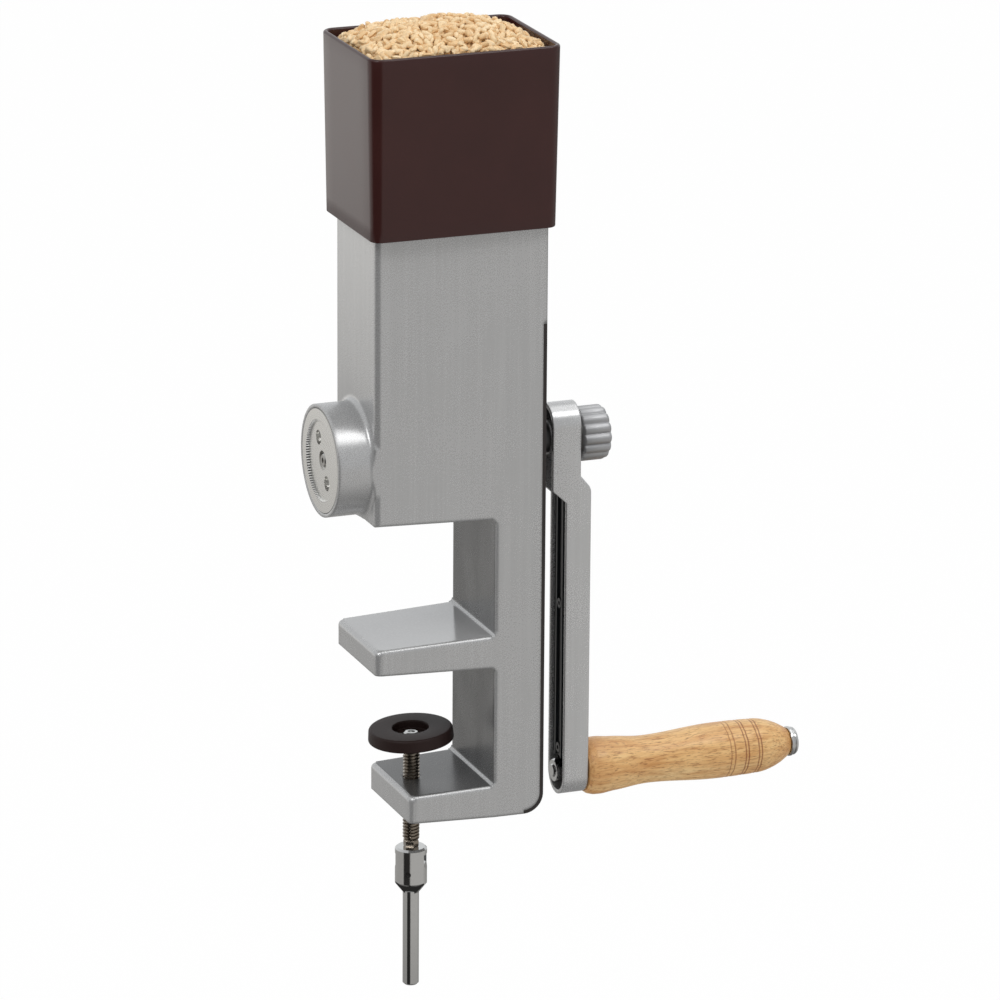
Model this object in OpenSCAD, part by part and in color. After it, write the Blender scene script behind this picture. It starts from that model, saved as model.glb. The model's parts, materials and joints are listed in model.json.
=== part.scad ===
/* [Frame casting] */
// Distance from the clamp screw to the table stop on the column
screw_to_column = 38.6; // [34:0.2:46]
// Width of the column along the crank shaft, cover included
column_w = 30.4; // [28:0.2:38]
// Width of the upper block along the crank shaft, cover included
block_w = 104; // [102:0.5:112]
// Depth of the frame, front to back, at the cover side
frame_d = 73.1; // [71:0.5:84]
// Height of the upper block
block_h = 173.2; // [166:0.2:190]
// Clear height between the upper block and the shelf, for the bowl
bowl_gap = 70.8; // [50:0.2:110]
// Thickness of the shelf where it meets the column
shelf_t = 19.3; // [14:0.1:26]
// Clear height between the shelf and the lower jaw, for the table top
table_gap = 73; // [66:0.5:90]
// Thickness of the lower jaw where it meets the column
jaw_t = 19.3; // [14:0.1:24]
// Reach of the shelf from the column
shelf_reach = 73.1; // [60:0.1:80]
// Reach of the lower jaw from the column
jaw_reach = 52.4; // [48:0.1:64]
// Casting draft towards the free ends, in degrees
draft = 1.75; // [0.5:0.05:2]
// Radius of the upright outer corners of the frame
corner_r = 4; // [1:0.1:5]
// Radius rolled over the free ends of the shelf and the jaw
tip_r = 3; // [1:0.1:5]
// Fillet radius inside the two openings of the frame
fillet_r = 2; // [1:0.1:6]
// Radius rolled along the front and back edges of the openings
edge_r = 2; // [1:0.1:2.4]
// Radius of the heel at the foot of the column
heel_r = 12; // [8:0.5:16]
// Wall between the outside of the column and its cavity
wall_t = 4.8; // [3.5:0.1:6]

/* [Side cover] */
// Thickness of the side cover
cover_t = 2.2; // [1.6:0.1:3]
// Length of the side cover, from the heel up
cover_h = 301; // [280:1:310]
// Corner radius at the top of the side cover
cover_r = 4; // [2:0.5:12]
// Screw size of the four cover screws
cover_screw_d = 4; // [3:0.5:5]

/* [Hopper] */
// Width of the hopper mouth along the crank shaft
hopper_w = 116; // [108:1:130]
// Depth of the hopper mouth, front to back
hopper_d = 87.3; // [80:0.5:100]
// Height of the hopper
hopper_h = 106.5; // [60:0.5:160]
// Taper of each hopper side over its height
hopper_taper = 1.8; // [0.5:0.1:4]
// Wall thickness of the hopper
hopper_wall = 3; // [2:0.1:4]
// Radius of the upright hopper corners
hopper_r = 7; // [4:0.5:12]
// Depth of the collar that drops into the frame
collar_h = 8; // [5:0.5:14]

/* [Grain path] */
// Length of the funnel mouth along the crank shaft
funnel_w = 88; // [80:1:90]
// Metal left in front of the funnel mouth and behind it
funnel_side = 8.55; // [8:0.05:12]
// Length of the slot over the feed screw
slot_w = 34; // [26:1:36]
// Width of the slot over the feed screw
slot_d = 21; // [14:0.5:22]
// Metal left under the boss at the root of the upper block's underside
boss_over = 2.5; // [2:0.1:6]
// Length of the flour outlet along the crank shaft
outlet_w = 22; // [16:0.5:23]
// Width of the flour outlet, front to back
outlet_d = 34; // [24:1:40]

/* [Millstones] */
// Room round the millstones in their chamber
stone_gap = 2.8; // [1:0.1:5]
// Thickness of each millstone
stone_t = 10.5; // [8:0.1:12]
// Eye of the fixed millstone
fixed_eye_d = 25; // [24.6:0.1:28]
// Grinding gap with the dial at its middle mark
grind_gap = 0.65; // [0.6:0.05:1]
// Number of furrows in each grinding face
furrows = 12; // [8:1:16]
// Width of a furrow
furrow_w = 2.4; // [1:0.1:3]
// Depth of a furrow at the eye
furrow_deep = 1; // [0.5:0.1:2]

/* [Grinding dial] */
// Step from the front face of the frame in to the round boss
boss_in = 3.55; // [3:0.05:5]
// Length of the boss beyond the upper block
boss_len = 21.5; // [21:0.1:26]
// Wall of the boss round the dial
rim_t = 2.2; // [1.8:0.1:2.6]
// Gap round the dial
dial_gap = 0.4; // [0.3:0.05:0.8]
// Thickness of the dial
dial_t = 6.9; // [6.5:0.1:8]
// Width of the dial's flat rim round its sunk centre
dial_rim = 6; // [5:0.1:8]
// Depth of the sunk centre of the dial
dial_sink = 1.6; // [1:0.1:2]
// Number of grip teeth round the sunk centre
dial_teeth = 96; // [48:6:108]
// Diameter of the two finger holes in the dial
finger_d = 8.6; // [6:0.2:9]
// Distance of the finger holes from the centre
finger_at = 13.9; // [13.2:0.1:16]
// Turn of the finger holes from upright, in degrees
finger_turn = 30; // [0:1:90]

/* [Shaft] */
// Diameter of the shaft in its two bushes
journal_d = 16; // [14:0.5:17]
// Diameter of the shaft through the feed screw and the carrier
shaft_d = 12; // [10:0.5:12.5]
// Outer diameter of the shaft bushes
bush_d = 22; // [20:0.5:23]
// Length of each shaft bush
bush_len = 10; // [8:0.5:10.5]
// Outer diameter of the feed screw
auger_d = 23.2; // [21:0.2:23.4]
// Core diameter of the feed screw
auger_core_d = 16; // [15:0.5:17]
// Lead of the feed screw
auger_lead = 18; // [14:1:24]

/* [Crank] */
// Distance from the crank shaft to the grip axis
crank_r = 207; // [150:0.5:230]
// Width of the crank arm
arm_w = 25.2; // [24:0.2:30]
// Depth of the crank arm along the shaft
arm_t = 15.4; // [14:0.2:19]
// Depth of the arm's hub along the shaft
hub_t = 17.4; // [15:0.2:20]
// Outward step of the arm's back below its hub
arm_step = 8.6; // [4:0.2:10]
// Radius of the arm's outer corner below the step
arm_bend_r = 8; // [1:0.5:10]
// Gap between the side cover and the hub of the arm
hub_stand = 14; // [12:0.5:20]
// Height of the arm's round head above the shaft
head_over = 8; // [0:0.2:10]
// Drop of the arm's round foot below the grip axis
foot_over = 1.6; // [0:0.2:3]
// Wall of the arm channel
arm_wall = 2.3; // [1.8:0.1:3]
// Thickness of the arm channel's floor
arm_floor = 3.2; // [2.4:0.1:4]
// Diameter of the fluted clamp knob over its lobes
knob_d = 32.4; // [28:0.2:36]
// Length of the fluted clamp knob
knob_len = 17.2; // [15:0.2:24]
// Number of lobes on the clamp knob
knob_lobes = 14; // [8:1:18]

/* [Grip] */
// Length of the wooden grip
grip_len = 130.2; // [110:0.2:150]
// Diameter of the grip at its inner bulb
grip_bulb_d = 34.6; // [30:0.2:38]
// Diameter of the grip at its waist
grip_waist_d = 28.6; // [24:0.2:30]
// Diameter of the grip at its belly
grip_belly_d = 33.6; // [30:0.2:38]
// Diameter of the grip at its outer end
grip_tip_d = 18; // [16:0.2:24]
// Diameter of the grip bolt
bolt_d = 8; // [7:0.5:9]

/* [Table clamp] */
// Outer diameter of the clamp screw thread
screw_d = 10; // [8:0.5:12]
// Length of thread below the swivel ball
thread_len = 56; // [50:0.5:66]
// Depth of the pressure disc's face below the shelf on the screw axis
disc_down = 44.4; // [30:0.2:50]
// Diameter of the pressure disc
disc_d = 49.4; // [40:0.2:52]
// Thickness of the pressure disc
disc_t = 7.6; // [7:0.1:10]
// Tilt of the pressure disc on its ball, in degrees
disc_tilt = 3.3; // [0:0.1:4]
// Diameter of the well in the pressure disc
well_d = 21.5; // [18:0.5:26]
// Depth of the well in the pressure disc
well_deep = 4.9; // [4.4:0.1:5.2]
// Diameter of the swivel ball
ball_d = 12.6; // [12:0.1:13.4]
// Diameter of the forked head
fork_d = 19; // [17:0.1:21]
// Length of the forked head
fork_len = 22.7; // [22:0.1:28]
// Width of the slot in the forked head
fork_slot = 8.2; // [7:0.1:9]
// Turn of the lever's pin away from the front, in degrees
fork_turn = 31; // [0:1:90]
// Length of the lever below its pin
lever_len = 71.7; // [50:0.1:90]
// Diameter of the lever rod
lever_d = 9.7; // [8:0.1:10]

/* [Hidden] */
$fn = 64;
// Angle covered by one straight piece of a rounded outline
arc_step = 7.5;
// Overrun of every cut past the face that it opens
over = 1;
// Radial clearance of a running fit
fit = 0.05;
// Axial play between two parts that turn past each other
play = 0.1;
// Clearance between parts that lie loosely side by side
slack = 0.3;

// Levels and faces of the frame; the origin is on the shelf's underside, above the clamp screw
fall = tan(draft);
col_x = screw_to_column;
right_x = col_x + column_w;
left_x = right_x - block_w;
mid_x = (left_x + right_x) / 2;
shelf_bot = -fall * col_x;
shelf_top = shelf_bot + shelf_t;
block_bot = shelf_top + bowl_gap;
block_top = block_bot + block_h;
jaw_top = shelf_bot - table_gap;
jaw_bot = jaw_top - jaw_t;
half_d = frame_d / 2;
boss_d = frame_d - 2 * boss_in;
shaft_up = boss_d / 2 + boss_over;
shaft_z = block_bot + shaft_up;
cover_top = jaw_bot + cover_h;
cover_x = right_x - cover_t;
// Small radius where a drafted underside meets an end face
under_r = 0.6;
// Radius rolled over the edge above the upright corners of the free ends
tip_roll = min(tip_r, corner_r);
// Radius of the cavity corners, and the cavity's levels
cavity_r = 6;
cavity_bot = jaw_bot + heel_r * 0.8;
cavity_top = shaft_z + bush_d + 2;
cavity_mid = (cavity_bot + cavity_top) / 2;

// Cover screws, and the lip that locates the cover in the cavity
screw_len = 12;
screw_flare = cover_screw_d * 0.42;
cover_screw_y = half_d - wall_t - cavity_r * 1.4;
cover_screw_zs = [block_bot + block_h * 0.5, jaw_bot + heel_r + cavity_r * 1.6];
lip_h = 3;
lip_t = 1.6;
lip_len = cavity_top - cavity_bot - 2 * slack;

// Hopper rim, rolled inside and outside
hopper_top = block_top + hopper_h;
rim_r = 1.3;
// Thickness of the flat outlines that a hull joins
sliver = 0.01;

// Stations along the shaft, from the dial inwards
boss_x = left_x - boss_len;
chamber_r = boss_d / 2 - rim_t;
boss_fillet = 3;
web_t = 6;
web_x = boss_x + dial_t + play;
clip_x = web_x + web_t + play;
clip_t = 1.2;
hub_lip = 1.2;
dial_end = clip_x + clip_t + hub_lip;
plug_gap = 1.3;
plug_t = 4;
plug_x = dial_end + plug_gap;
ball_r = 3;
ball_x = plug_x + plug_t + fit + ball_r;
carrier_gap = 1.3;
carrier_x = plug_x + plug_t + carrier_gap;
carrier_t = 4.5;
stone_x = carrier_x + carrier_t;
fixed_x = stone_x + stone_t + grind_gap;
seat_x = fixed_x + stone_t;
seat_deep = 2.5;
stone_d = 2 * (chamber_r - stone_gap);
furrow_slope = atan(furrow_deep / (stone_d / 2));
funnel_d = frame_d - 2 * funnel_side;

// Dial, its hub and the parts behind it
dial_hub_r = 14;
dial_spigot_r = 10;
dial_thread_r = 7;
dial_floor = 3.4;
dial_sink_d = 2 * (chamber_r - dial_gap - dial_rim);
hub_solid = 4;
spigot_x = boss_x + dial_sink + dial_floor;
thread_x = spigot_x + hub_solid;
clip_groove = 1.3;
clip_r = 16.4;
dial_spot_d = 11.6;
dial_spot = 1.4;
dial_screw_d = 5;
dial_head_d = 9.4;
tooth_deep = 0.9;
finger_deep = 2.8;
plug_r = 23;
guide_at = 19;
guide_r = 2;
guide_hold = 4;
friction_r = 23;
friction_w = 3;
friction_t = 1.4;

// Stone carrier and the parts on the shaft
carrier_side = 4.8;
carrier_r = chamber_r - carrier_side;
carrier_hub_r = 10.4;
carrier_hub_end = stone_x + stone_t - play * 6;
shaft_bore_x = stone_x + slack * 5;
shaft_end_x = shaft_bore_x + slack * 4;
drive_r = 1.9;
drive_len = 19;
drive_x = carrier_hub_end - drive_r - play;
wave_t = 1.2;
wave_gap = 0.7;
wave_x = carrier_hub_end + wave_gap;
auger_x = wave_x + wave_t + slack;
journal_x = col_x + play * 8;
washer_t = 2.2;
auger_end = journal_x - washer_t - play * 3;
auger_bore_r = auger_d / 2 + play * 8;
auger_pin_r = 1.5;
auger_pin_x = auger_end - auger_pin_r * 4;
flight_t = 3;
auger_steps = 60;
bush_shoulder = journal_x + play * 5;
slot_x = (seat_x + bush_shoulder) / 2;
funnel_bot = shaft_z + auger_bore_r * 2;
bush2_x = cover_x - bush_len - play * 4;
tube_t = 5;

// Crank stations
hub_x = right_x + hub_stand;
hub_face = hub_x + hub_t;
arm_x = hub_x + arm_step;
arm_face = arm_x + arm_t;
arm_end_r = arm_w / 2;
head_z = shaft_z + head_over;
grip_z = shaft_z - crank_r;
foot_z = grip_z - foot_over;
step_share = 0.873;
step_out_z = shaft_z - arm_w * step_share;
step_run = 8;
step_lag = 7.8;
collar_r = 9;
hub_boss_r = 10.2;
flat_half = 5.5;
flat_r = 7;
stud_d = 10;
stud_len = 13;
washer_r = 11;
knob_gap = 1.6;
knob_x = hub_face + knob_gap;
lobe_share = 0.105;
knob_edge = 2.4;
inlay_in = 2.2;
inlay_t = 2.4;
inlay_x = arm_x + inlay_in;
inlay_top = step_out_z - step_lag - step_run - slack;
inlay_half = arm_end_r - arm_wall - slack;
inlay_screw_hold = 8;
rib_w = 1.4;
rib_h = 1.3;
rib_at = 4.4;
inlay_screw_d = 3;
inlay_screw_shares = [0.497, 0.931];
inlay_screw_zs = [for (k = inlay_screw_shares) shaft_z - crank_r * k];

// Grip stations along its axis
nut_af = 13;
nut_t = 6.5;
nut_out = 1.9;
nut_x = arm_x - nut_out;
nut_boss_r = 8.2;
inlay_bot = grip_z + nut_boss_r + 2 * slack;
grip_gap = 0.8;
grip_x = arm_face + grip_gap;
grip_end = grip_x + grip_len;
cap_len = 7.6;
cap_round = 2.6;
sleeve_t = 1.5;
// Places and sizes along the grip: share of its length, then a mix of the named diameters
grip_shares = [[0, 0.84], [0.015, 0.93], [0.04, 0.985], [0.068, 1], [0.095, 0.99], [0.125, 0.94]];
waist_share = 0.3;
belly_share = 0.655;
brow_share = 0.86;
brow_d = grip_belly_d * 0.94;
tip_shares = [[0.905, 0.72], [0.945, 0.48], [0.975, 0.24], [1, 0]];

// Clamp stations, downwards from the shelf
disc_face = -disc_down;
disc_back = disc_face - disc_t;
well_z = disc_face - well_deep;
ball_seat = fit;
ball_low = 2.5;
ball_z = disc_back - ball_low;
ball_share = 0.31;
ball_top = ball_z + ball_d * ball_share;
ball_bot = ball_z - ball_d * ball_share;
pivot_tip_r = 3;
head_gap = 0.6;
head_z0 = well_z + head_gap;
head_r = 4.8;
head_t = 1.5;
thread_bot = ball_bot - thread_len;
neck_af = 8;
neck_len = 4.4;
fork_top = thread_bot - neck_len;
fork_bot = fork_top - fork_len;
fork_edge = 1.2;
slot_roof = 4;
pin_up = 7.6;
slot_top = fork_top - slot_roof;
tenon_r = 3.2;
pin_r = 1.75;
pin_z = fork_bot + pin_up;
neck_pin_r = 1;
tongue_t = fork_slot - play * 2;
tongue_r = fork_d / 2;
tongue_low = 7.4;
taper_len = 6;
taper_top = pin_z - tongue_low;
taper_bot = taper_top - taper_len;
lever_bot = pin_z - lever_len;
lever_edge = 1;
disc_edge = 0.8;
disc_spread = 0.6;

// Rounded outlines
function unit(v) = v / norm(v);
function cross2(a, b) = a[0] * b[1] - a[1] * b[0];
function turned(v, a) = [v[0] * cos(a) - v[1] * sin(a), v[0] * sin(a) + v[1] * cos(a)];
function corner(a, p, b, r) = r == 0 ? [p] :
    let (u = unit(a - p), v = unit(b - p), half = acos(u * v) / 2,
         c = p + unit(u + v) * r / sin(half), s = p + u * r / tan(half) - c,
         e = p + v * r / tan(half) - c, way = sign(cross2(s, e)),
         swept = 180 - 2 * half, n = ceil(swept / arc_step))
    [for (k = [0:n]) c + turned(s, way * swept * k / n)];
// Points come as [x, y, radius of the corner]
function rounded(pts) = [for (i = [0:len(pts) - 1])
    let (n = len(pts), a = pts[(i + n - 1) % n], p = pts[i], b = pts[(i + 1) % n])
    each corner([a[0], a[1]], [p[0], p[1]], [b[0], b[1]], p[2])];

module box_outline(w, d, r)
    polygon(rounded([[-w / 2, -d / 2, r], [w / 2, -d / 2, r], [w / 2, d / 2, r], [-w / 2, d / 2, r]]));

// Extrudes an outline drawn in x and z, centred front to back
module across(d) rotate([90, 0, 0]) linear_extrude(d, center = true) children();
// Extrudes an outline drawn in y and z, from x0 to x1
module along(x0, x1) translate([x0, 0, 0]) rotate([90, 0, 90]) linear_extrude(x1 - x0) children();
// Round bar along x
module bar(x0, x1, r) translate([x0, 0, 0]) rotate([0, 90, 0]) cylinder(r = r, h = x1 - x0);
module cone_bar(x0, x1, r0, r1) translate([x0, 0, 0]) rotate([0, 90, 0]) cylinder(r1 = r0, r2 = r1,
    h = x1 - x0);
module ring(x0, x1, outer, inner) difference() {
    bar(x0, x1, outer);
    bar(x0 - over, x1 + over, inner);
}
module at_shaft() translate([0, 0, shaft_z]) children();
module at_grip() translate([0, 0, grip_z]) children();
module column(z0, z1, r) translate([0, 0, z0]) cylinder(r = r, h = z1 - z0);
module hexagon(af, h) cylinder(d = af / cos(30), h = h, $fn = 6);

// C-shaped side view of the frame, drafted towards its free ends
function under(z, x) = z + fall * (col_x - x);
function above(z, x) = z - fall * (col_x - x);
frame_points = [
    [right_x, jaw_bot, heel_r], [right_x, block_top, 0],
    [left_x, block_top, 0], [left_x, under(block_bot, left_x), under_r],
    [col_x, block_bot, fillet_r], [col_x, shelf_top, fillet_r],
    [col_x - shelf_reach, above(shelf_top, col_x - shelf_reach), tip_r],
    [col_x - shelf_reach, under(shelf_bot, col_x - shelf_reach), under_r],
    [col_x, shelf_bot, fillet_r], [col_x, jaw_top, fillet_r],
    [col_x - jaw_reach, above(jaw_top, col_x - jaw_reach), tip_r],
    [col_x - jaw_reach, under(jaw_bot, col_x - jaw_reach), under_r],
    [col_x, jaw_bot, 0]];
left_half = half_d - fall * block_w;
plan_points = [[left_x, -left_half, corner_r], [right_x, -half_d, 0],
    [right_x, half_d, 0], [left_x, left_half, corner_r]];

// Band that the side cover takes up, run out past the frame's outline
module cover_band() {
    translate([cover_x, jaw_bot + heel_r]) square([cover_t + over, cover_h - heel_r]);
    difference() {
        translate([right_x - heel_r, jaw_bot - over]) square([heel_r + over, heel_r + over]);
        translate([right_x - heel_r, jaw_bot + heel_r]) circle(heel_r - cover_t);
    }
}

// Rounded edges along the straight runs of an outline path of [x, z, fillet], in the drafted front face
edge_steps = 6;
rolled = [[-over, -over], [-over, edge_r],
    each [for (k = [0:edge_steps]) let (a = 90 * k / edge_steps) [edge_r * (1 - cos(a)),
        edge_r * (1 - sin(a))]],
    [edge_r, -over]];
function heading(p, q) = atan2(q[1] - p[1], q[0] - p[0]);
function fillet_run(path, i) = i == 0 || i == len(path) - 1 ? 0 :
    path[i][2] * tan((heading(path[i - 1], path[i]) - heading(path[i], path[i + 1])) / 2);
module rolled_edges(path) for (i = [1:len(path) - 1]) {
    p = path[i - 1];
    q = path[i];
    translate([p[0], 0, p[1]]) rotate([0, -heading(p, q), 0])
        along(fillet_run(path, i - 1), norm([q[0] - p[0], q[1] - p[1]]) - fillet_run(path, i))
            polygon(rolled);
}
bowl_path = [[left_x - over, under(block_bot, left_x), 0], [col_x, block_bot, fillet_r], [col_x,
    shelf_top, fillet_r],
    [col_x - shelf_reach - over, above(shelf_top, col_x - shelf_reach), 0]];
table_path = [[col_x, shelf_bot - fillet_r, 0], [col_x, jaw_top, fillet_r],
    [col_x - jaw_reach - over, above(jaw_top, col_x - jaw_reach), 0]];

// Rounds the two upright corners of a free end, and the edge that runs round above them
module tip_corners(reach, bottom, top) for (s = [-1, 1])
    translate([col_x - reach, s * (half_d - fall * (column_w + reach)), 0]) scale([1, s, 1]) {
        translate([0, 0, bottom - over]) linear_extrude(top - bottom + 2 * over) difference() {
            translate([-over, -corner_r]) square([corner_r + over, corner_r + over]);
            translate([corner_r, -corner_r]) circle(corner_r);
        }
        translate([0, 0, above(top, col_x - reach) - tip_roll]) intersection() {
            translate([-over, -corner_r, 0]) cube([corner_r + over, corner_r + over, tip_roll + over]);
            translate([corner_r, -corner_r, 0]) rotate_extrude() difference() {
                translate([corner_r - tip_roll, 0]) square(tip_roll + over);
                translate([corner_r - tip_roll, 0]) circle(tip_roll);
            }
        }
    }

module cover_screw_places() for (z = cover_screw_zs, s = [-1, 1])
    translate([cover_x, s * cover_screw_y, z]) children();

module frame_casting() color("darkgray") difference() {
    union() {
        intersection() {
            across(frame_d) polygon(rounded(frame_points));
            translate([0, 0, jaw_bot - over]) linear_extrude(block_top - jaw_bot + 2 * over)
                polygon(rounded(plan_points));
        }
        at_shaft() bar(boss_x, left_x + corner_r * 2, boss_d / 2);
        // Fillet from the boss into the block's end, kept within the end
        intersection() {
            at_shaft() translate([left_x - boss_fillet, 0, 0]) rotate([0, 90, 0]) rotate_extrude()
                difference() {
                square([boss_d / 2 + boss_fillet, boss_fillet + corner_r]);
                translate([boss_d / 2 + boss_fillet, 0]) circle(boss_fillet);
            }
            translate([boss_x, -left_half, under(block_bot, left_x)]) cube([boss_len + corner_r,
                2 * left_half, block_h]);
        }
    }
    tip_corners(shelf_reach, shelf_bot, shelf_top);
    tip_corners(jaw_reach, jaw_bot, jaw_top);
    for (s = [-1, 1]) scale([1, s, 1]) translate([right_x, -half_d, 0]) rotate([0, 0, -draft])
        translate([-right_x, 0, 0]) {
            rolled_edges(bowl_path);
            rolled_edges(table_path);
        }
    // Rebate for the side cover
    difference() {
        across(frame_d + over) cover_band();
        cover_top_round(over);
    }
    // Cavity of the column, open to the cover
    difference() {
        translate([col_x + wall_t, 0, 0]) along(0, column_w) translate([0, cavity_mid])
            box_outline(frame_d - 2 * wall_t, cavity_top - cavity_bot, cavity_r);
        at_shaft() bar(col_x, cover_x, bush_d / 2 + tube_t);
        cover_screw_places() bar(-column_w, 0, cover_screw_d * 1.3);
    }
    cover_screw_places() bar(-screw_len, over, cover_screw_d / 2);
    cover_screw_places() cone_bar(-screw_flare + cover_t, cover_t, cover_screw_d / 2,
        cover_screw_d * 0.92);
    // Funnel and slot from the hopper down to the feed screw
    hull() {
        translate([mid_x, 0, block_top]) linear_extrude(over) box_outline(funnel_w, funnel_d, cavity_r,
            $fn = 32);
        translate([slot_x, 0, funnel_bot]) linear_extrude(over) box_outline(slot_w, slot_d, under_r,
            $fn = 32);
    }
    translate([slot_x - slot_w / 2, -slot_d / 2, shaft_z]) cube([slot_w, slot_d,
        funnel_bot - shaft_z + over]);
    translate([mid_x, 0, block_top - collar_h - slack]) linear_extrude(collar_h + slack + over)
        box_outline(funnel_w + 2 * slack, funnel_d + 2 * slack, cavity_r);
    at_shaft() {
        bar(boss_x - over, web_x, chamber_r);
        bar(boss_x - over, web_x + web_t + over, dial_hub_r);
        bar(web_x + web_t, seat_x - seat_deep, chamber_r);
        bar(seat_x - seat_deep - over, seat_x, stone_d / 2);
        bar(seat_x - over, bush_shoulder, auger_bore_r);
        bar(bush_shoulder - over, right_x, bush_d / 2);
        guide_places() bar(web_x + web_t - guide_hold, web_x + web_t + over, guide_r);
        ring(web_x - over, web_x + friction_t, friction_r, friction_r - friction_w);
    }
    // Flour outlet under the stones
    translate([fixed_x - outlet_w * 0.55, -outlet_d / 2, block_bot - over])
        cube([outlet_w, outlet_d, shaft_up - chamber_r * 0.55]);
    // Threaded hole for the clamp screw
    column(jaw_bot - over, jaw_top + over, screw_d / 2 + fit);
}
// Keeps the rounded top corners of the cover, to a given excess
module cover_top_round(extra) for (s = [-1, 1])
    translate([cover_x - extra, s * half_d, cover_top]) scale([1, s, -1]) rotate([90, 0, 90])
        linear_extrude(cover_t + 2 * extra) difference() {
            translate([-cover_r, -over]) square([cover_r + over, cover_r + over]);
            translate([-cover_r, cover_r]) circle(cover_r);
        }
module guide_places() for (s = [-1, 1]) translate([0, s * guide_at, 0]) children();

module side_cover() color([0.13, 0.1, 0.1]) difference() {
    union() {
        intersection() {
            across(frame_d) intersection() {
                polygon(rounded(frame_points));
                cover_band();
            }
            translate([0, 0, jaw_bot - over]) linear_extrude(cover_h + 2 * over)
                polygon(rounded(plan_points));
        }
        // Locating lip inside the column cavity
        difference() {
            translate([cover_x - lip_h, 0, 0]) along(0, lip_h) translate([0, cavity_mid])
                box_outline(frame_d - 2 * wall_t - 2 * slack, lip_len, cavity_r);
            translate([cover_x - lip_h - over, 0, 0]) along(0, lip_h + over) translate([0, cavity_mid])
                box_outline(frame_d - 2 * wall_t - 2 * slack - 2 * lip_t, lip_len - 2 * lip_t,
                    cavity_r - lip_t);
            cover_screw_places() bar(-lip_h - over, 0, cover_screw_d * 1.3 + slack);
        }
    }
    cover_top_round(over);
    at_shaft() bar(cover_x - lip_h - over, right_x + over, collar_r + 1.5 * slack);
    cover_screw_places() cone_bar(0, cover_t, cover_screw_d / 2 + fit, cover_screw_d * 0.92 + fit);
    cover_screw_places() cone_bar(cover_t, cover_t + over, cover_screw_d * 0.92 + fit,
        cover_screw_d * 0.92 + fit);
}

module cover_screws() color("black") cover_screw_places() difference() {
    union() {
        bar(-screw_len + play, cover_t - screw_flare, cover_screw_d / 2 - fit);
        cone_bar(cover_t - screw_flare - play, cover_t, cover_screw_d / 2 - fit, cover_screw_d * 0.88);
    }
    translate([cover_t - screw_flare / 2, 0, 0]) rotate([0, 90, 0]) hexagon(cover_screw_d * 0.6, over);
}

module bush(x) at_shaft() ring(x, x + bush_len, bush_d / 2, journal_d / 2 + fit);
module inner_bush() color("peru") bush(bush_shoulder);
module outer_bush() color("peru") bush(bush2_x);

// Millstone with radial furrows that run out towards the rim; face is the grinding side, 1 or -1
module millstone(x, eye, face) at_shaft() difference() {
    ring(x, x + stone_t, stone_d / 2, eye);
    translate([face > 0 ? x + stone_t : x, 0, 0]) for (k = [0:furrows - 1]) rotate([k * 360 / furrows,
        0, 0])
        translate([0, eye * 0.35, 0]) rotate([0, 0, -face * furrow_slope])
            translate([-furrow_deep, 0, 0]) cube([2 * furrow_deep, stone_d / 2 - eye * 0.35, furrow_w]);
}
module fixed_stone() color("lightgray") millstone(fixed_x, fixed_eye_d / 2, -1);
module turning_stone() color("lightgray") millstone(stone_x, carrier_hub_r + fit, 1);

module guide_pins() color("silver") at_shaft() guide_places()
    bar(web_x + web_t - guide_hold, plug_x + plug_t, guide_r);
// Rubber ring that holds the dial at its setting
module friction_ring() color([0.1, 0.1, 0.1]) at_shaft()
    ring(web_x - play / 2, web_x + friction_t, friction_r, friction_r - friction_w);

// Outline of the hopper at a level between its foot and its rim, moved inwards by inset
module hopper_level(z, inset) translate([mid_x, 0, z]) linear_extrude(sliver)
    box_outline(hopper_w - 2 * inset, hopper_d - 2 * inset, hopper_r - inset);
module hopper() color([0.24, 0.16, 0.16]) difference() {
    union() {
        hull() {
            hopper_level(block_top, hopper_taper);
            for (a = [0:22.5:90]) hopper_level(hopper_top - rim_r * (1 - sin(a)) - sliver,
                rim_r * (1 - cos(a)));
        }
        translate([mid_x, 0, block_top - collar_h]) linear_extrude(collar_h + hopper_wall)
            box_outline(funnel_w, funnel_d, cavity_r);
    }
    hull() {
        hopper_level(block_top + hopper_wall, hopper_wall + hopper_taper);
        hopper_level(hopper_top + over, hopper_wall);
    }
    for (a = [30:30:90]) hull() {
        hopper_level(hopper_top - rim_r * (1 - sin(a - 30)), hopper_wall - rim_r * (1 - cos(a - 30)));
        hopper_level(hopper_top - rim_r * (1 - sin(a)), hopper_wall - rim_r * (1 - cos(a)));
    }
    translate([mid_x, 0, block_top - collar_h - over]) linear_extrude(collar_h + hopper_wall + 2 * over)
        box_outline(funnel_w - 2 * hopper_wall, funnel_d - 2 * hopper_wall, cavity_r - hopper_wall);
}

module main_shaft() color("silver") at_shaft() difference() {
    union() {
        bar(shaft_end_x, journal_x + over, shaft_d / 2);
        bar(journal_x, hub_x, journal_d / 2);
        intersection() {
            bar(hub_x - over, hub_face - play, flat_r);
            translate([hub_x - over, -flat_r, -flat_half]) cube([hub_t + over, 2 * flat_r,
                2 * flat_half]);
        }
        bar(hub_face - over, hub_face + knob_gap + stud_len, stud_d / 2);
    }
    translate([drive_x, 0, 0]) rotate([90, 0, 0]) cylinder(r = drive_r, h = 2 * journal_d, center = true);
    translate([auger_pin_x, 0, 0]) rotate([90, 0, 0]) cylinder(r = auger_pin_r, h = 2 * journal_d,
        center = true);
}

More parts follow.
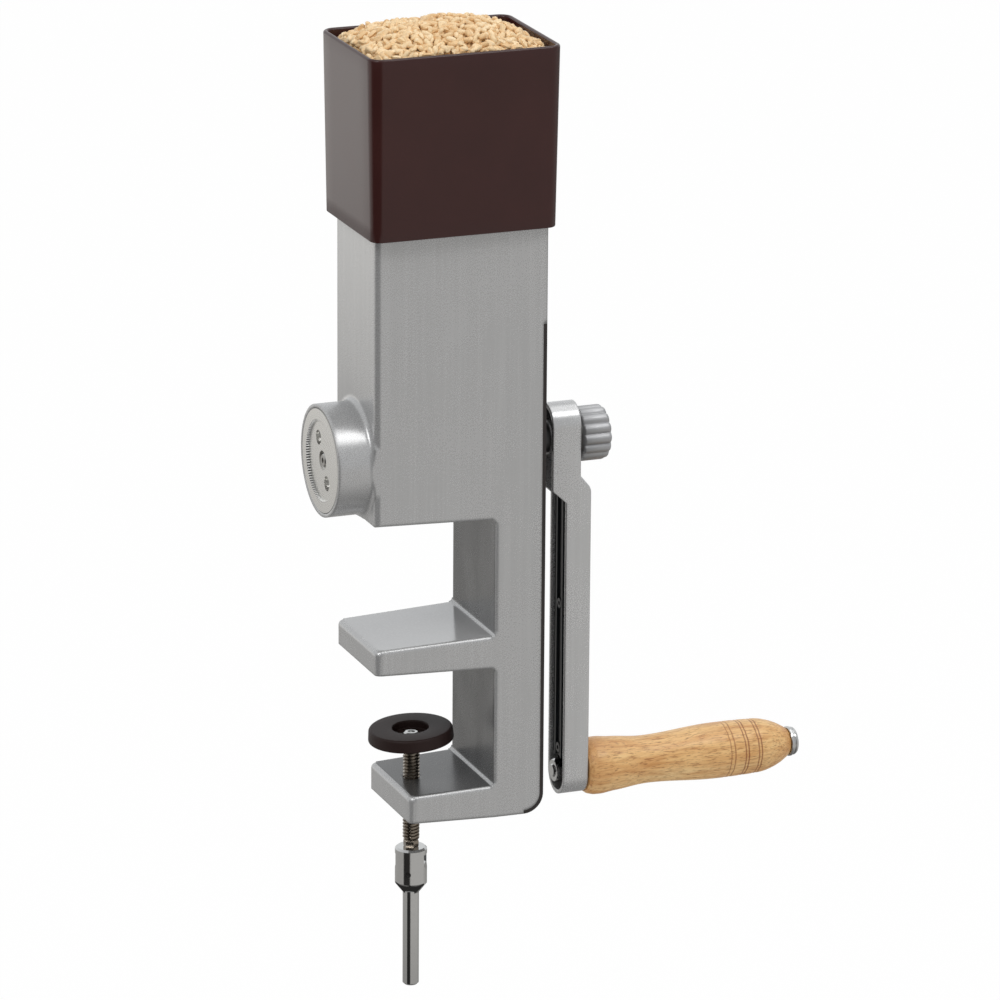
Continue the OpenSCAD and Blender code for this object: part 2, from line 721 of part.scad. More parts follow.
// Core with a helical flight
module feed_screw() color("gainsboro") at_shaft() difference() {
    translate([auger_x, 0, 0]) rotate([0, 90, 0]) linear_extrude(auger_end - auger_x,
        twist = -360 * (auger_end - auger_x) / auger_lead, slices = auger_steps) {
            circle(auger_core_d / 2, $fn = 20);
            translate([0, -flight_t / 2]) square([auger_d / 2, flight_t]);
        }
    bar(auger_x - over, auger_end + over, shaft_d / 2 + fit);
    translate([auger_pin_x, 0, 0]) rotate([90, 0, 0]) cylinder(r = auger_pin_r, h = auger_core_d + over,
        center = true);
}
module feed_screw_pin() color("silver") at_shaft() translate([auger_pin_x, 0, 0]) rotate([90, 0, 0])
    cylinder(r = auger_pin_r, h = auger_core_d - play, center = true);
module drive_pin() color("silver") at_shaft() translate([drive_x, 0, 0]) rotate([90, 0, 0])
    cylinder(r = drive_r, h = drive_len, center = true);
module thrust_washer() color("peru") at_shaft()
    ring(auger_end, auger_end + washer_t, auger_d / 2, shaft_d / 2 + fit);
module wave_washer() color("silver") at_shaft() ring(wave_x, wave_x + wave_t, shaft_d * 0.75,
    shaft_d / 2 + fit);
module spacer_collar() color("silver") at_shaft()
    ring(right_x + slack, hub_x, collar_r, journal_d / 2);

// Side view of the arm with its outward step below the hub
arm_side = rounded([[hub_x, head_z + arm_w, 0], [hub_x, step_out_z - step_lag, 0],
    [arm_x, step_out_z - step_lag - step_run, 0], [arm_x, foot_z - arm_w, 0],
    [arm_face, foot_z - arm_w, 0], [arm_face, step_out_z - step_run, arm_bend_r],
    [hub_face, step_out_z, under_r], [hub_face, head_z + arm_w, 0]]);
// Straight sides with true half-round ends
module stadium_bar(x0, x1, r) {
    translate([x0, -r, foot_z]) cube([x1 - x0, 2 * r, head_z - foot_z]);
    translate([0, 0, head_z]) bar(x0, x1, r);
    translate([0, 0, foot_z]) bar(x0, x1, r);
}
module arm_band(shift, r) intersection() {
    translate([shift, 0, 0]) across(arm_w + over) polygon(arm_side);
    stadium_bar(hub_x - arm_t, arm_face + arm_t, r);
}
module crank_arm() color("darkgray") difference() {
    union() {
        difference() {
            arm_band(0, arm_end_r);
            arm_band(-arm_floor, arm_end_r - arm_wall);
        }
        intersection() {
            union() {
                at_shaft() bar(hub_x, hub_face - over, hub_boss_r);
                at_grip() bar(nut_x + nut_t, arm_face - over, nut_boss_r);
                inlay_screw_places() bar(inlay_x + inlay_t, arm_face - over, inlay_screw_d);
            }
            stadium_bar(hub_x, arm_face, arm_end_r - arm_wall / 2);
        }
    }
    at_shaft() intersection() {
        bar(hub_x - over, hub_face + over, flat_r + fit);
        translate([hub_x - over, -flat_r - over, -flat_half - fit])
            cube([hub_t + 2 * over, 2 * flat_r + 2 * over, 2 * flat_half + 2 * fit]);
    }
    at_grip() bar(nut_x, arm_face + over, bolt_d / 2);
    inlay_screw_places() bar(inlay_x, inlay_x + inlay_screw_hold, inlay_screw_d / 2);
}
module inlay_screw_places() for (z = inlay_screw_zs) translate([0, 0, z]) children();

// Dark strip that closes the back of the arm channel, with two long ribs
module arm_inlay() color([0.12, 0.12, 0.13]) difference() {
    union() {
        translate([inlay_x, -inlay_half, inlay_bot]) cube([inlay_t, 2 * inlay_half,
            inlay_top - inlay_bot]);
        for (s = [-1, 1]) translate([inlay_x - rib_h, s * rib_at - rib_w / 2, inlay_bot])
            cube([rib_h + fit, rib_w, inlay_top - inlay_bot]);
    }
    inlay_screw_places() bar(inlay_x - over, inlay_x + inlay_t + over, inlay_screw_d / 2 + fit);
}
module inlay_screws() color("silver") inlay_screw_places() difference() {
    union() {
        bar(inlay_x - rib_h, inlay_x, inlay_screw_d);
        bar(inlay_x - fit, inlay_x + inlay_screw_hold - play, inlay_screw_d / 2 - fit / 2);
    }
    translate([inlay_x - rib_h - over, 0, 0]) rotate([0, 90, 0]) hexagon(inlay_screw_d * 0.8,
        over + rib_h / 2);
}

module knob_washer() color("silver") at_shaft() ring(hub_face, hub_face + knob_gap, washer_r,
    stud_d / 2 + fit);
// Lobed outline: circles set round a core, with the hollows between them
module clamp_knob() color("silver") at_shaft() difference() {
    intersection() {
        union() {
            bar(knob_x, knob_x + knob_len, knob_d * 0.455);
            for (k = [0:knob_lobes - 1]) rotate([k * 360 / knob_lobes, 0, 0])
                translate([0, 0, knob_d / 2 - knob_d * lobe_share]) bar(knob_x, knob_x + knob_len,
                    knob_d * lobe_share);
        }
        union() {
            cone_bar(knob_x, knob_x + knob_edge / 2, knob_d / 2 - knob_edge / 2, knob_d / 2 + fit);
            bar(knob_x + knob_edge / 2, knob_x + knob_len - knob_edge, knob_d / 2 + fit);
            cone_bar(knob_x + knob_len - knob_edge, knob_x + knob_len, knob_d / 2 + fit,
                knob_d / 2 - knob_edge);
        }
    }
    bar(knob_x - over, knob_x + stud_len + play, stud_d / 2 + fit);
}

module grip_bolt() color("silver") at_grip() {
    bar(nut_x - over, grip_end + slack + fit, bolt_d / 2);
    translate([grip_end + slack, 0, 0]) rotate([0, 90, 0]) rotate_extrude()
        polygon(rounded([[0, 0, 0], [grip_tip_d / 2, 0, 0.3 * cap_round],
            [grip_tip_d / 2 - cap_round / 4, cap_len, cap_round],
            [0, cap_len, 0]]));
}
module grip_nut() color("silver") at_grip() difference() {
    intersection() {
        translate([nut_x, 0, 0]) rotate([0, 90, 0]) hexagon(nut_af, nut_t);
        union() {
            cone_bar(nut_x, nut_x + nut_t / 5, nut_af / 2, nut_af * 0.58);
            bar(nut_x + nut_t / 5, nut_x + nut_t, nut_af * 0.58);
        }
    }
    bar(nut_x - over, nut_x + nut_t + over, bolt_d / 2);
}
module grip_washer() color("dimgray") at_grip() ring(arm_face, arm_face + grip_gap - play,
    nut_af * 0.75, bolt_d / 2);

// Turned profile of the grip: bulb, waist, belly and rounded end
function mix(a, b, t) = a + (b - a) * (1 - cos(180 * t)) / 2;
grip_profile = [
    each [for (s = grip_shares) [s[0] * grip_len, s[1] * grip_bulb_d / 2]],
    each [for (k = [1:8]) let (t = 0.125 + (waist_share - 0.125) * k / 8)
        [t * grip_len, mix(grip_bulb_d * 0.94, grip_waist_d, k / 8) / 2]],
    each [for (k = [1:12]) let (t = waist_share + (belly_share - waist_share) * k / 12)
        [t * grip_len, mix(grip_waist_d, grip_belly_d, k / 12) / 2]],
    each [for (k = [1:5]) let (t = belly_share + (brow_share - belly_share) * k / 5)
        [t * grip_len, (grip_belly_d - (grip_belly_d - brow_d) * k * k / 25) / 2]],
    each [for (s = tip_shares) [s[0] * grip_len, (grip_tip_d + (brow_d - grip_tip_d) * s[1]) / 2]]];
module wooden_grip() color("burlywood") at_grip() translate([grip_x, 0, 0]) rotate([0, 90, 0])
    rotate_extrude()
    polygon([[bolt_d / 2 + fit + sleeve_t, 0], each [for (p = grip_profile) [p[1], p[0]]],
        [bolt_d / 2 + fit + sleeve_t, grip_len]]);
module grip_sleeve() color("goldenrod") at_grip()
    ring(grip_x, grip_end, bolt_d / 2 + fit + sleeve_t, bolt_d / 2 + fit);

module stone_carrier() color("silver") at_shaft() difference() {
    union() {
        bar(carrier_x, carrier_x + carrier_t, carrier_r);
        bar(carrier_x, carrier_hub_end, carrier_hub_r);
    }
    bar(carrier_x - over, ball_x + ball_r, ball_r + fit);
    bar(shaft_bore_x, carrier_hub_end + over, shaft_d / 2 + fit);
    translate([drive_x - drive_r - over, -carrier_hub_r - over, -drive_r - fit])
        cube([2 * drive_r + 3 * over, 2 * (carrier_hub_r + over), 2 * (drive_r + fit)]);
}
module thrust_ball() color("silver") at_shaft() translate([ball_x, 0, 0]) sphere(ball_r);

module adjuster_plug() color("goldenrod") at_shaft() difference() {
    union() {
        bar(thread_x + plug_gap, plug_x + over, dial_thread_r - fit);
        bar(plug_x, plug_x + plug_t, plug_r);
    }
    guide_places() bar(plug_x - over, plug_x + plug_t + over, guide_r + fit / 2);
}

module dial_holes() for (s = [-1, 1]) rotate([s > 0 ? -finger_turn : 180 - finger_turn, 0, 0])
    translate([0, 0, finger_at]) children();
module grind_dial() color("gainsboro") at_shaft() difference() {
    bar(boss_x, boss_x + dial_t, chamber_r - dial_gap);
    // Sunk centre with a toothed wall for the fingertips
    along(boss_x - over, boss_x + dial_sink) polygon([for (k = [0:2 * dial_teeth - 1])
        turned([dial_sink_d / 2 - (k % 2) * tooth_deep, 0], k * 180 / dial_teeth)]);
    dial_holes() bar(boss_x, boss_x + dial_sink + finger_deep, finger_d / 2);
    bar(boss_x, boss_x + dial_sink + dial_spot, dial_spot_d / 2);
    bar(boss_x, boss_x + dial_t + over, dial_screw_d / 2);
    bar(spigot_x, boss_x + dial_t + over, dial_spigot_r);
}
module dial_hub() color("goldenrod") at_shaft() difference() {
    union() {
        bar(spigot_x, boss_x + dial_t + over, dial_spigot_r);
        bar(boss_x + dial_t, dial_end, dial_hub_r - fit);
    }
    bar(spigot_x - over, spigot_x + hub_solid - slack, dial_screw_d / 2);
    bar(thread_x, dial_end + over, dial_thread_r);
    // Groove for the retaining clip
    ring(clip_x - play / 2, clip_x + clip_t + play / 2, dial_hub_r + over, dial_hub_r - clip_groove);
}
module dial_screw() color("silver") at_shaft() difference() {
    union() {
        translate([boss_x + dial_sink + dial_spot, 0, 0]) rotate([0, -90, 0])
            cylinder(d1 = dial_head_d, d2 = dial_head_d * 0.7, h = dial_spot);
        bar(boss_x + dial_sink + dial_spot - fit, thread_x - 2 * slack, dial_screw_d / 2 - fit / 2);
    }
    translate([boss_x, 0, 0]) rotate([0, 90, 0]) hexagon(dial_screw_d * 0.6, dial_sink + dial_spot / 2);
}
module dial_clip() color("silver") at_shaft() difference() {
    ring(clip_x, clip_x + clip_t, clip_r, dial_hub_r - clip_groove);
    translate([clip_x - over, -clip_t, -clip_r - over]) cube([clip_t + 2 * over, 2 * clip_t, clip_r]);
}

module swivel_ball() color("silver") difference() {
    translate([0, 0, ball_z]) sphere(ball_d / 2);
    translate([-ball_d, -ball_d, ball_top]) cube([2 * ball_d, 2 * ball_d, ball_d]);
    translate([-ball_d, -ball_d, ball_bot - ball_d]) cube([2 * ball_d, 2 * ball_d, ball_d]);
    column(ball_z - ball_d, ball_z + ball_d, pivot_tip_r + fit);
}
// Disc that rides tilted on the ball, with a well for the screw head
module pressure_disc() color([0.18, 0.15, 0.15]) translate([0, 0, ball_z]) rotate([0, -disc_tilt, 0])
    translate([0, 0, -ball_z]) difference() {
        translate([0, 0, disc_back]) rotate_extrude() polygon(rounded([[0, 0, 0],
            [disc_d / 2 + disc_spread, 0, disc_edge],
            [disc_d / 2, disc_t, disc_edge], [0, disc_t, 0]]));
        column(well_z, disc_face + over, well_d / 2);
        translate([0, 0, ball_z]) sphere(ball_d / 2 + ball_seat);
    }

module clamp_screw() color("silver") difference() {
    union() {
        column(ball_bot - over, head_z0, pivot_tip_r);
        column(thread_bot, ball_bot - play, screw_d / 2);
        translate([0, 0, fork_top]) rotate([0, 0, -fork_turn]) hexagon(neck_af, neck_len + fit);
        column(slot_top + play, fork_top + fit, tenon_r);
    }
    column(head_z0 - screw_d, head_z0 + over, pivot_tip_r * 0.65);
    translate([0, 0, thread_bot - neck_len / 2]) turned_pin() cylinder(r = neck_pin_r, h = screw_d * 2,
        center = true);
}
module turned_pin() rotate([0, 0, -fork_turn]) rotate([90, 0, 0]) children();
module disc_screw() color("silver") difference() {
    union() {
        translate([0, 0, head_z0]) cylinder(r1 = head_r, r2 = head_r * 0.72, h = head_t);
        column(head_z0 - screw_d + play, head_z0 + fit, pivot_tip_r * 0.65 - fit);
    }
    translate([0, 0, head_z0 + head_t * 0.35]) hexagon(head_r * 0.75, head_t);
}
module fork_head() color("silver") difference() {
    translate([0, 0, fork_bot]) rotate_extrude() polygon([[0, 0], [fork_d / 2 - fork_edge, 0],
        [fork_d / 2, fork_edge],
        [fork_d / 2, fork_len - fork_edge], [fork_d / 2 - fork_edge, fork_len], [0, fork_len]]);
    rotate([0, 0, -fork_turn]) {
        translate([-fork_d, -fork_slot / 2, fork_bot - over]) cube([2 * fork_d, fork_slot,
            slot_top - fork_bot + over]);
        translate([0, 0, pin_z]) rotate([90, 0, 0]) cylinder(r = pin_r, h = 2 * fork_d, center = true);
    }
    column(slot_top - over, fork_top + over, tenon_r);
}
module neck_pin() color("gray") translate([0, 0, thread_bot - neck_len / 2]) turned_pin()
    cylinder(r = neck_pin_r, h = neck_af, center = true);
module lever_pin() color("gray") translate([0, 0, pin_z]) turned_pin()
    cylinder(r = pin_r, h = fork_d - 2 * fork_edge, center = true);
// Flat tongue that narrows into a round rod
module folding_lever() color("silver") rotate([0, 0, -fork_turn]) difference() {
    union() {
        intersection() {
            union() {
                translate([0, 0, pin_z]) rotate([90, 0, 0]) cylinder(r = tongue_r, h = fork_d,
                    center = true);
                translate([0, 0, taper_top]) cylinder(r = tongue_r, h = pin_z - taper_top);
                translate([0, 0, taper_bot]) cylinder(r1 = lever_d / 2, r2 = tongue_r,
                    h = taper_top - taper_bot);
            }
            translate([-fork_d, -tongue_t / 2, taper_bot]) cube([2 * fork_d, tongue_t,
                pin_z + fork_d - taper_bot]);
            column(taper_bot, pin_z + fork_d, tongue_r);
        }
        column(lever_bot + lever_edge, taper_bot + over, lever_d / 2);
        translate([0, 0, lever_bot]) cylinder(r1 = lever_d / 2 - lever_edge, r2 = lever_d / 2,
            h = lever_edge);
    }
    translate([0, 0, pin_z]) rotate([90, 0, 0]) cylinder(r = pin_r + fit, h = 2 * fork_d, center = true);
}

frame_casting();
side_cover();
cover_screws();
inner_bush();
outer_bush();
fixed_stone();
guide_pins();
friction_ring();
hopper();
main_shaft();
feed_screw();
feed_screw_pin();
drive_pin();
thrust_washer();
wave_washer();
spacer_collar();
crank_arm();
arm_inlay();
inlay_screws();
knob_washer();
clamp_knob();
grip_bolt();
grip_nut();
grip_washer();
wooden_grip();
grip_sleeve();
stone_carrier();
turning_stone();
thrust_ball();
adjuster_plug();
grind_dial();
dial_hub();
dial_screw();
dial_clip();
swivel_ball();
pressure_disc();
clamp_screw();
disc_screw();
fork_head();
neck_pin();
lever_pin();
folding_lever();
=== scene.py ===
"""Looks of the hand grain mill: finishes for its solids, finer pieces in their place, and a plain studio."""

import json
import math
import random

import bmesh
import bpy
from mathutils import Matrix, Vector, noise


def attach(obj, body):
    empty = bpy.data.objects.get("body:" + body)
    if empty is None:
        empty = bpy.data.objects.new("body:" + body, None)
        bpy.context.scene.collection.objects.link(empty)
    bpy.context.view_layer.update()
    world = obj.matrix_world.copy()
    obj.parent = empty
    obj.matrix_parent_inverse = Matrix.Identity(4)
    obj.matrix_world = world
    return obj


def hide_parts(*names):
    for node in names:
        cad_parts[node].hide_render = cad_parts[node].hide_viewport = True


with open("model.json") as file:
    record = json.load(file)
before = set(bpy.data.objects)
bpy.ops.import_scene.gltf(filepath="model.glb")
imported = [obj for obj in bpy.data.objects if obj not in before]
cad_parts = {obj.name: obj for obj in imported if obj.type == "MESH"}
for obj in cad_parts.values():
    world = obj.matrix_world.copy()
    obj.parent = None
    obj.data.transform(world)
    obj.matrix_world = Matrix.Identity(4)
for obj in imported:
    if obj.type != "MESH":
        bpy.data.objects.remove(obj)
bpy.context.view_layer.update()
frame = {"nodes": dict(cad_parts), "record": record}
MM = 0.001

# Sizes of the mill in millimetres, as in the part's source
SHAFT_Z = 124.421
GRIP_Z = -82.579
HOPPER_MID = 17.0
HOPPER_W, HOPPER_D, HOPPER_TAPER = 116.0, 87.3, 1.8
HOPPER_Z0, HOPPER_Z1 = 262.121, 368.621
HOPPER_WALL, HOPPER_R = 3.0, 8.0
FUNNEL_W, FUNNEL_D, COLLAR_H = 88.0, 56.0, 8.0
KNOB_X, KNOB_LEN, KNOB_R, KNOB_LOBES = 102.0, 17.2, 16.2, 14
GRIP_X, GRIP_LEN = 107.8, 132.4
GRIP_BULB, GRIP_WAIST, GRIP_BELLY, GRIP_TIP = 34.6, 28.6, 33.6, 18.0
BOLT_R, BOLT_BORE_R, NUT_X = 4.0, 5.6, 89.7
DIAL_SINK_R, DIAL_TEETH = 24.4, 96
BALL_Z = -54.5
DISC_FACE, DISC_BACK, DISC_R = -44.4, -52.0, 24.7
DISC_TILT = math.radians(3.3)
WELL_Z, WELL_R = -49.3, 10.75
SEAT_R, SEAT_MOUTH_R = 5.6, 7.2
THREAD_TOP, THREAD_BOT = -58.506, -114.406
THREAD_R, THREAD_ROOT_R, THREAD_LEAD = 4.98, 3.95, 2.0
SCREW_TIP_R, SCREW_TIP_Z = 3.0, -48.7
HEX_R, HEX_TURN = 4.62, math.radians(31)
FORK_TOP, TENON_R, TENON_Z = -118.806, 3.2, -122.7

# Sizes of the wheat in millimetres, measured from the hopper's middle
HEAP_HALF_W, HEAP_HALF_D, HEAP_RISE = 53.0, 39.0, 12.0
BED_HALF_W, BED_HALF_D, BED_DROP = 53.4, 39.1, 3.6
WHEAT_HALF_W, WHEAT_HALF_D = 52.0, 38.2
WALL_HALF_W, WALL_HALF_D, WALL_GAP = 53.2, 38.9, 0.6

# A grain's half length, half width and half thickness, least and most
GRAIN_LONG, GRAIN_WIDE, GRAIN_HIGH = (2.7, 3.4), (1.6, 1.9), (1.45, 1.7)

# Layers of grains: how deep under the heap's top each lies, and its step from grain to grain
WHEAT_LAYERS = [(3.4, 4.2), (1.4, 3.7), (-0.3, 3.9)]
TOP_LAYER_SHARE = 0.62

# Burnt rings of the grip: place along x and half width in millimetres, and how dark
GRIP_RINGS = [
    (197.7, 0.55, 0.6), (200.3, 0.6, 0.7), (207.2, 0.6, 0.8),
    (209.1, 0.6, 0.9), (215.8, 0.6, 0.8), (217.7, 0.6, 0.85),
]

# Where the casting's finishes and its painted shade change, in metres: the shelf's and jaw's tops, and the
# clamp's openings
SHELF_TOP_Z, JAW_TOP_Z = 0.018, -0.06
OPENING_TOP_Z, OPENING_X = 0.09, 0.03

# Lamps of the studio: name, place, size and power, and the point that they face
LAMPS = [
    ("key_softbox", (-1.5, -1.1, 2.0), (0.9, 0.9), 17),
    ("bright_softbox", (0.83, -1.07, 1.98), (1.1, 0.8), 10),
    ("overhead_softbox", (0.85, 0.15, 2.2), (1.7, 1.7), 9),
]
LAMPS_AIM = (0.05, 0, 0.08)

# The floor: its half width and height in metres, and how much of it is plain white to the camera
FLOOR_REACH, FLOOR_LEVEL, FLOOR_WHITE = 9.0, -0.46, 0.985

# How bright the surroundings are in reflections, and the tints of floor and sky there
FLOOR_FRONT, FLOOR_LEFT, FLOOR_FAR = 0.63, 0.50, 0.70
SKY_FRONT, SKY_BACK, SKY_LIGHT = 0.68, 1.0, 0.56
FLOOR_TINT, SKY_TINT = (1, 0.985, 0.955), (0.965, 0.985, 1)

# The studio's flag, a dark sector in reflections: degrees to the left of the front, and how dark
FLAG_AT, FLAG_NEAR_HALF, FLAG_FAR_HALF = 50, 24, 46
FLAG_DARK, BEHIND_RIGHT_DARK = 0.94, 0.45

# The camera: degrees, metres from its target, and the target in millimetres
CAMERA_YAW, CAMERA_PITCH, CAMERA_ROLL = 21.255, 17.288, 0.401
CAMERA_LENS, CAMERA_SENSOR, CAMERA_AWAY = 230.04, 36, 3.7263
CAMERA_TARGET = (54.796, 0, 88.961)


# Materials
class Value:
    """A value in a shader; sums, products and powers of values add their Math nodes."""

    def __init__(self, finish, socket):
        self.finish, self.socket = finish, socket

    def _math(self, operation, *terms):
        return self.finish.add("Math", {"operation": operation}, dict(enumerate(terms)))

    def __add__(self, other):
        return self._math("ADD", self, other)

    def __sub__(self, other):
        return self._math("SUBTRACT", self, other)

    def __rsub__(self, other):
        return self._math("SUBTRACT", other, self)

    def __mul__(self, other):
        return self._math("MULTIPLY", self, other)

    def __pow__(self, other):
        return self._math("POWER", self, other)

    def most(self, other):
        return self._math("MAXIMUM", self, other)

    def size(self):
        return self._math("ABSOLUTE", self)

    def angle(self, other):
        return self._math("ARCTAN2", self, other)


class Finish:
    """One material: its nodes, and the colours, waves and bumps that the mill's pieces share."""

    def __init__(self, name, kind="BsdfPrincipled", world=None):
        self.material = world or bpy.data.materials.new(name)
        self.material.use_nodes = True
        self.tree = self.material.node_tree
        self.tree.nodes.clear()
        self.shader = self.tree.nodes.new("ShaderNode" + kind)

    def add(self, kind, settings=(), values=(), out=0):
        node = self.tree.nodes.new("ShaderNode" + kind)
        for key, value in dict(settings).items():
            if key == "stops":
                ramp = node.color_ramp.elements
                while len(ramp) < len(value):
                    ramp.new(0.5)
                for element, (place, colour) in zip(ramp, value):
                    element.position, element.color = place, (*colour, 1)
            else:
                setattr(node, key, value)
        for key, value in dict(values).items():
            self.put(node.inputs[key], value)
        return Value(self, node.outputs[out])

    def put(self, socket, value):
        if isinstance(value, Value):
            self.tree.links.new(value.socket, socket)
        else:
            socket.default_value = value

    def set(self, **values):
        for key, value in values.items():
            if isinstance(value, tuple) and len(value) == 3:
                value = (*value, 1)
            self.put(self.shader.inputs[key.replace("_", " ")], value)

    def finish(self, kind="Material"):
        out = self.tree.nodes.new("ShaderNodeOutput" + kind)
        self.tree.links.new(self.shader.outputs[0], out.inputs[0])
        return self.material

    def place(self, scale=(1, 1, 1), shift=(0, 0, 0)):
        """The point on the piece in metres, stretched and moved."""
        here = self.add("TexCoord", out="Object")
        return self.add("Mapping", {}, {"Vector": here, "Location": shift, "Scale": scale})

    def facing(self):
        """The direction that the surface faces, as its three parts."""
        return self.parts(self.add("TexCoord", out="Normal"))

    def mix(self, factor, a, b):
        """A colour between a and b; 6, 7 and 2 are the Mix node's colour sockets."""
        a, b = [(*c, 1) if isinstance(c, tuple) else c for c in (a, b)]
        return self.add("Mix", {"data_type": "RGBA"}, {0: factor, 6: a, 7: b}, out=2)

    def noise(self, where, scale, detail=2.0, rough=0.5, twist=0.0):
        values = {"Vector": where, "Scale": scale, "Detail": detail, "Roughness": rough, "Distortion": twist}
        return self.add("TexNoise", {}, values)

    def ramp(self, value, low, high, start=0.0, end=1.0):
        """Runs from low to high while the value runs from start to end, and stays there outside."""
        values = {"Value": value, "From Min": start, "From Max": end, "To Min": low, "To Max": high}
        return self.add("MapRange", {"clamp": True}, values)

    def above(self, value, edge, fade):
        """1 where the value lies above the edge, 0 below it, with a fade over the edge."""
        return self.ramp(value, 0, 1, edge, edge + fade)

    def below(self, value, edge, fade):
        """1 where the value lies below the edge, 0 above it, with a fade over the edge."""
        return self.ramp(value, 1, 0, edge, edge + fade)

    def colours(self, value, *stops):
        return self.add("ValToRGB", {"stops": stops}, {0: value})

    def bump(self, height, strength, depth, under=None):
        values = {"Height": height, "Strength": strength, "Distance": depth}
        if under:
            values["Normal"] = under
        return self.add("Bump", {}, values)

    def parts(self, where):
        split = self.add("SeparateXYZ", {}, {0: where}).socket.node
        return [Value(self, socket) for socket in split.outputs]

    def outputs(self, kind, *names):
        """The named outputs of one node that takes no values."""
        node = self.tree.nodes.new("ShaderNode" + kind)
        return [Value(self, node.outputs[name]) for name in names]


def linear(r, g, b):
    """A colour written in 0 to 255 as the values a shader takes."""
    return tuple((c / 255 / 12.92) if c < 10 else ((c / 255 + 0.055) / 1.055) ** 2.4 for c in (r, g, b))


def shade(tint, share):
    """A colour made darker, or lighter where share is more than 1."""
    return tuple(min(1, c * share) for c in tint)


def blasted_casting(name, tint, edge=2.6, openings=False):
    """Matt cast aluminium with faint clouds, fine upright polishing lines and softened edges.

    With openings, the shelf's top is polished, and the walls in the clamp's two openings and the jaw's
    top get painted shade: a darker, mottled colour that stands in for the shade in those recesses.
    """
    f = Finish(name)
    streaks = f.noise(f.place((700, 700, 9)), 1.0, 2, 0.5)
    clouds = f.noise(f.place(), 24, 4, 0.55)
    speck = f.noise(f.place(), 1600, 3, 0.6)
    colour = f.mix(f.ramp(clouds, 0, 1, 0.35, 0.68), shade(tint, 0.96), tint)
    colour = f.mix(f.ramp(streaks, 0, 0.6, 0.45, 0.7), colour, shade(tint, 1.09))
    soft_edges = f.add("Bevel", {"samples": 8}, {"Radius": edge * MM})
    rough = f.ramp(speck, 0.23, 0.31) + (clouds - 0.5) * 0.08
    if openings:
        left, _, up = f.facing()
        x, _, z = f.parts(f.place())
        level = f.above(up, 0.975, 0.02)
        shelf_top = level * f.below(z, SHELF_TOP_Z, 0.002) * f.above(z, JAW_TOP_Z, 0.01)
        jaw_top = level * f.below(z, JAW_TOP_Z, 0.005)
        wall = f.below(left, -0.97, 0.07) * f.above(x, OPENING_X, 0.003) * f.below(z, OPENING_TOP_Z, 0.002)
        mottle = f.noise(f.place((45, 45, 16)), 1.0, 4, 0.6, 0.3)
        # Painted shade: darker, mottled colour on the walls in the openings, and darker still on the jaw's
        # top under the shelf
        skin = f.mix(f.ramp(mottle, 0, 1, 0.3, 0.7), shade(tint, 0.27), shade(tint, 0.42))
        colour = f.mix(jaw_top, f.mix(wall, colour, skin), shade(tint, 0.24))
        polish = shelf_top.most(jaw_top)
        rough = rough * (1 - polish) + polish * f.ramp(speck, 0.10, 0.17) + jaw_top * 0.13
    lines = f.bump(streaks, 0.06, 0.00005, soft_edges)
    f.set(Base_Color=colour, Metallic=0.52, Roughness=rough, Normal=f.bump(speck, 0.025, 0.00004, lines))
    return f.finish()


def turned_metal(name, tint, roughness, axis_z=None):
    """Metal turned on a lathe, with fine rings round the shaft's axis, or round an upright axis."""
    f = Finish(name)
    x, y, z = f.parts(f.place())
    if axis_z is None:
        radius, along = (x * x + y * y) ** 0.5, z
    else:
        radius, along = (y * y + (z - axis_z) * (z - axis_z)) ** 0.5, x
    profile = f.add("CombineXYZ", {}, {0: radius * 2600, 1: along * 2600})
    rings = f.add("TexNoise", {"noise_dimensions": "2D"}, {"Vector": profile, "Scale": 1.0, "Detail": 2.0})
    clouds = f.noise(f.place(), 55, 3)
    f.set(Base_Color=f.mix(f.ramp(clouds, 0, 1, 0.35, 0.7), shade(tint, 0.93), tint), Metallic=1.0,
          Roughness=f.ramp(rings, roughness * 0.8, roughness * 1.25) + (clouds - 0.5) * 0.08,
          Normal=f.bump(rings, 0.12, 0.00004))
    return f.finish()


def toothed_dial(name, tint):
    """Turned aluminium whose finger teeth carry a painted highlight on one flank and painted shade on the
    other.
    """
    f = Finish(name)
    _, y, z = f.parts(f.place())
    y, z = y * 1000, (z - SHAFT_Z * MM) * 1000
    radius = (y * y + z * z) ** 0.5
    rings = f.add("TexNoise", {"noise_dimensions": "1D"}, {"W": radius, "Scale": 2.6, "Detail": 2.0})
    facing = f.facing()[0]
    ring = f.above(radius, DIAL_SINK_R - 1.02, 0.05) * f.below(radius, DIAL_SINK_R + 0.03, 0.05)
    wall = ring * f.above(facing, -0.8, 0.2)
    turn = z.angle(y) * (DIAL_TEETH / (2 * math.pi))
    # Painted highlight and shade: one flank of each tooth is near white, the other near black
    painted_flank_light = f.above(f.add("Math", {"operation": "PINGPONG"}, {0: turn, 1: 0.5}), 0.2, 0.1)
    colour = f.mix(wall, tint, f.mix(painted_flank_light, (0.10, 0.10, 0.10), (0.95, 0.95, 0.93)))
    f.set(Base_Color=colour, Metallic=1 - wall, Roughness=f.ramp(rings, 0.22, 0.34),
          Normal=f.bump(rings, 0.1, 0.00004))
    return f.finish()


def brushed_metal(name, tint, roughness):
    """Bright metal with fine lines along x."""
    f = Finish(name)
    lines = f.noise(f.place((45, 1900, 1900)), 1.0, 3, 0.6)
    clouds = f.noise(f.place(), 90, 3)
    colour = f.mix(f.ramp(lines, 0, 1, 0.35, 0.65), shade(tint, 0.86), tint)
    f.set(Base_Color=f.mix(f.ramp(clouds, 0, 0.5, 0.4, 0.7), colour, shade(tint, 0.92)), Metallic=0.85,
          Roughness=f.ramp(lines, roughness * 0.85, roughness * 1.15), Normal=f.bump(lines, 0.25, 0.0001))
    return f.finish()


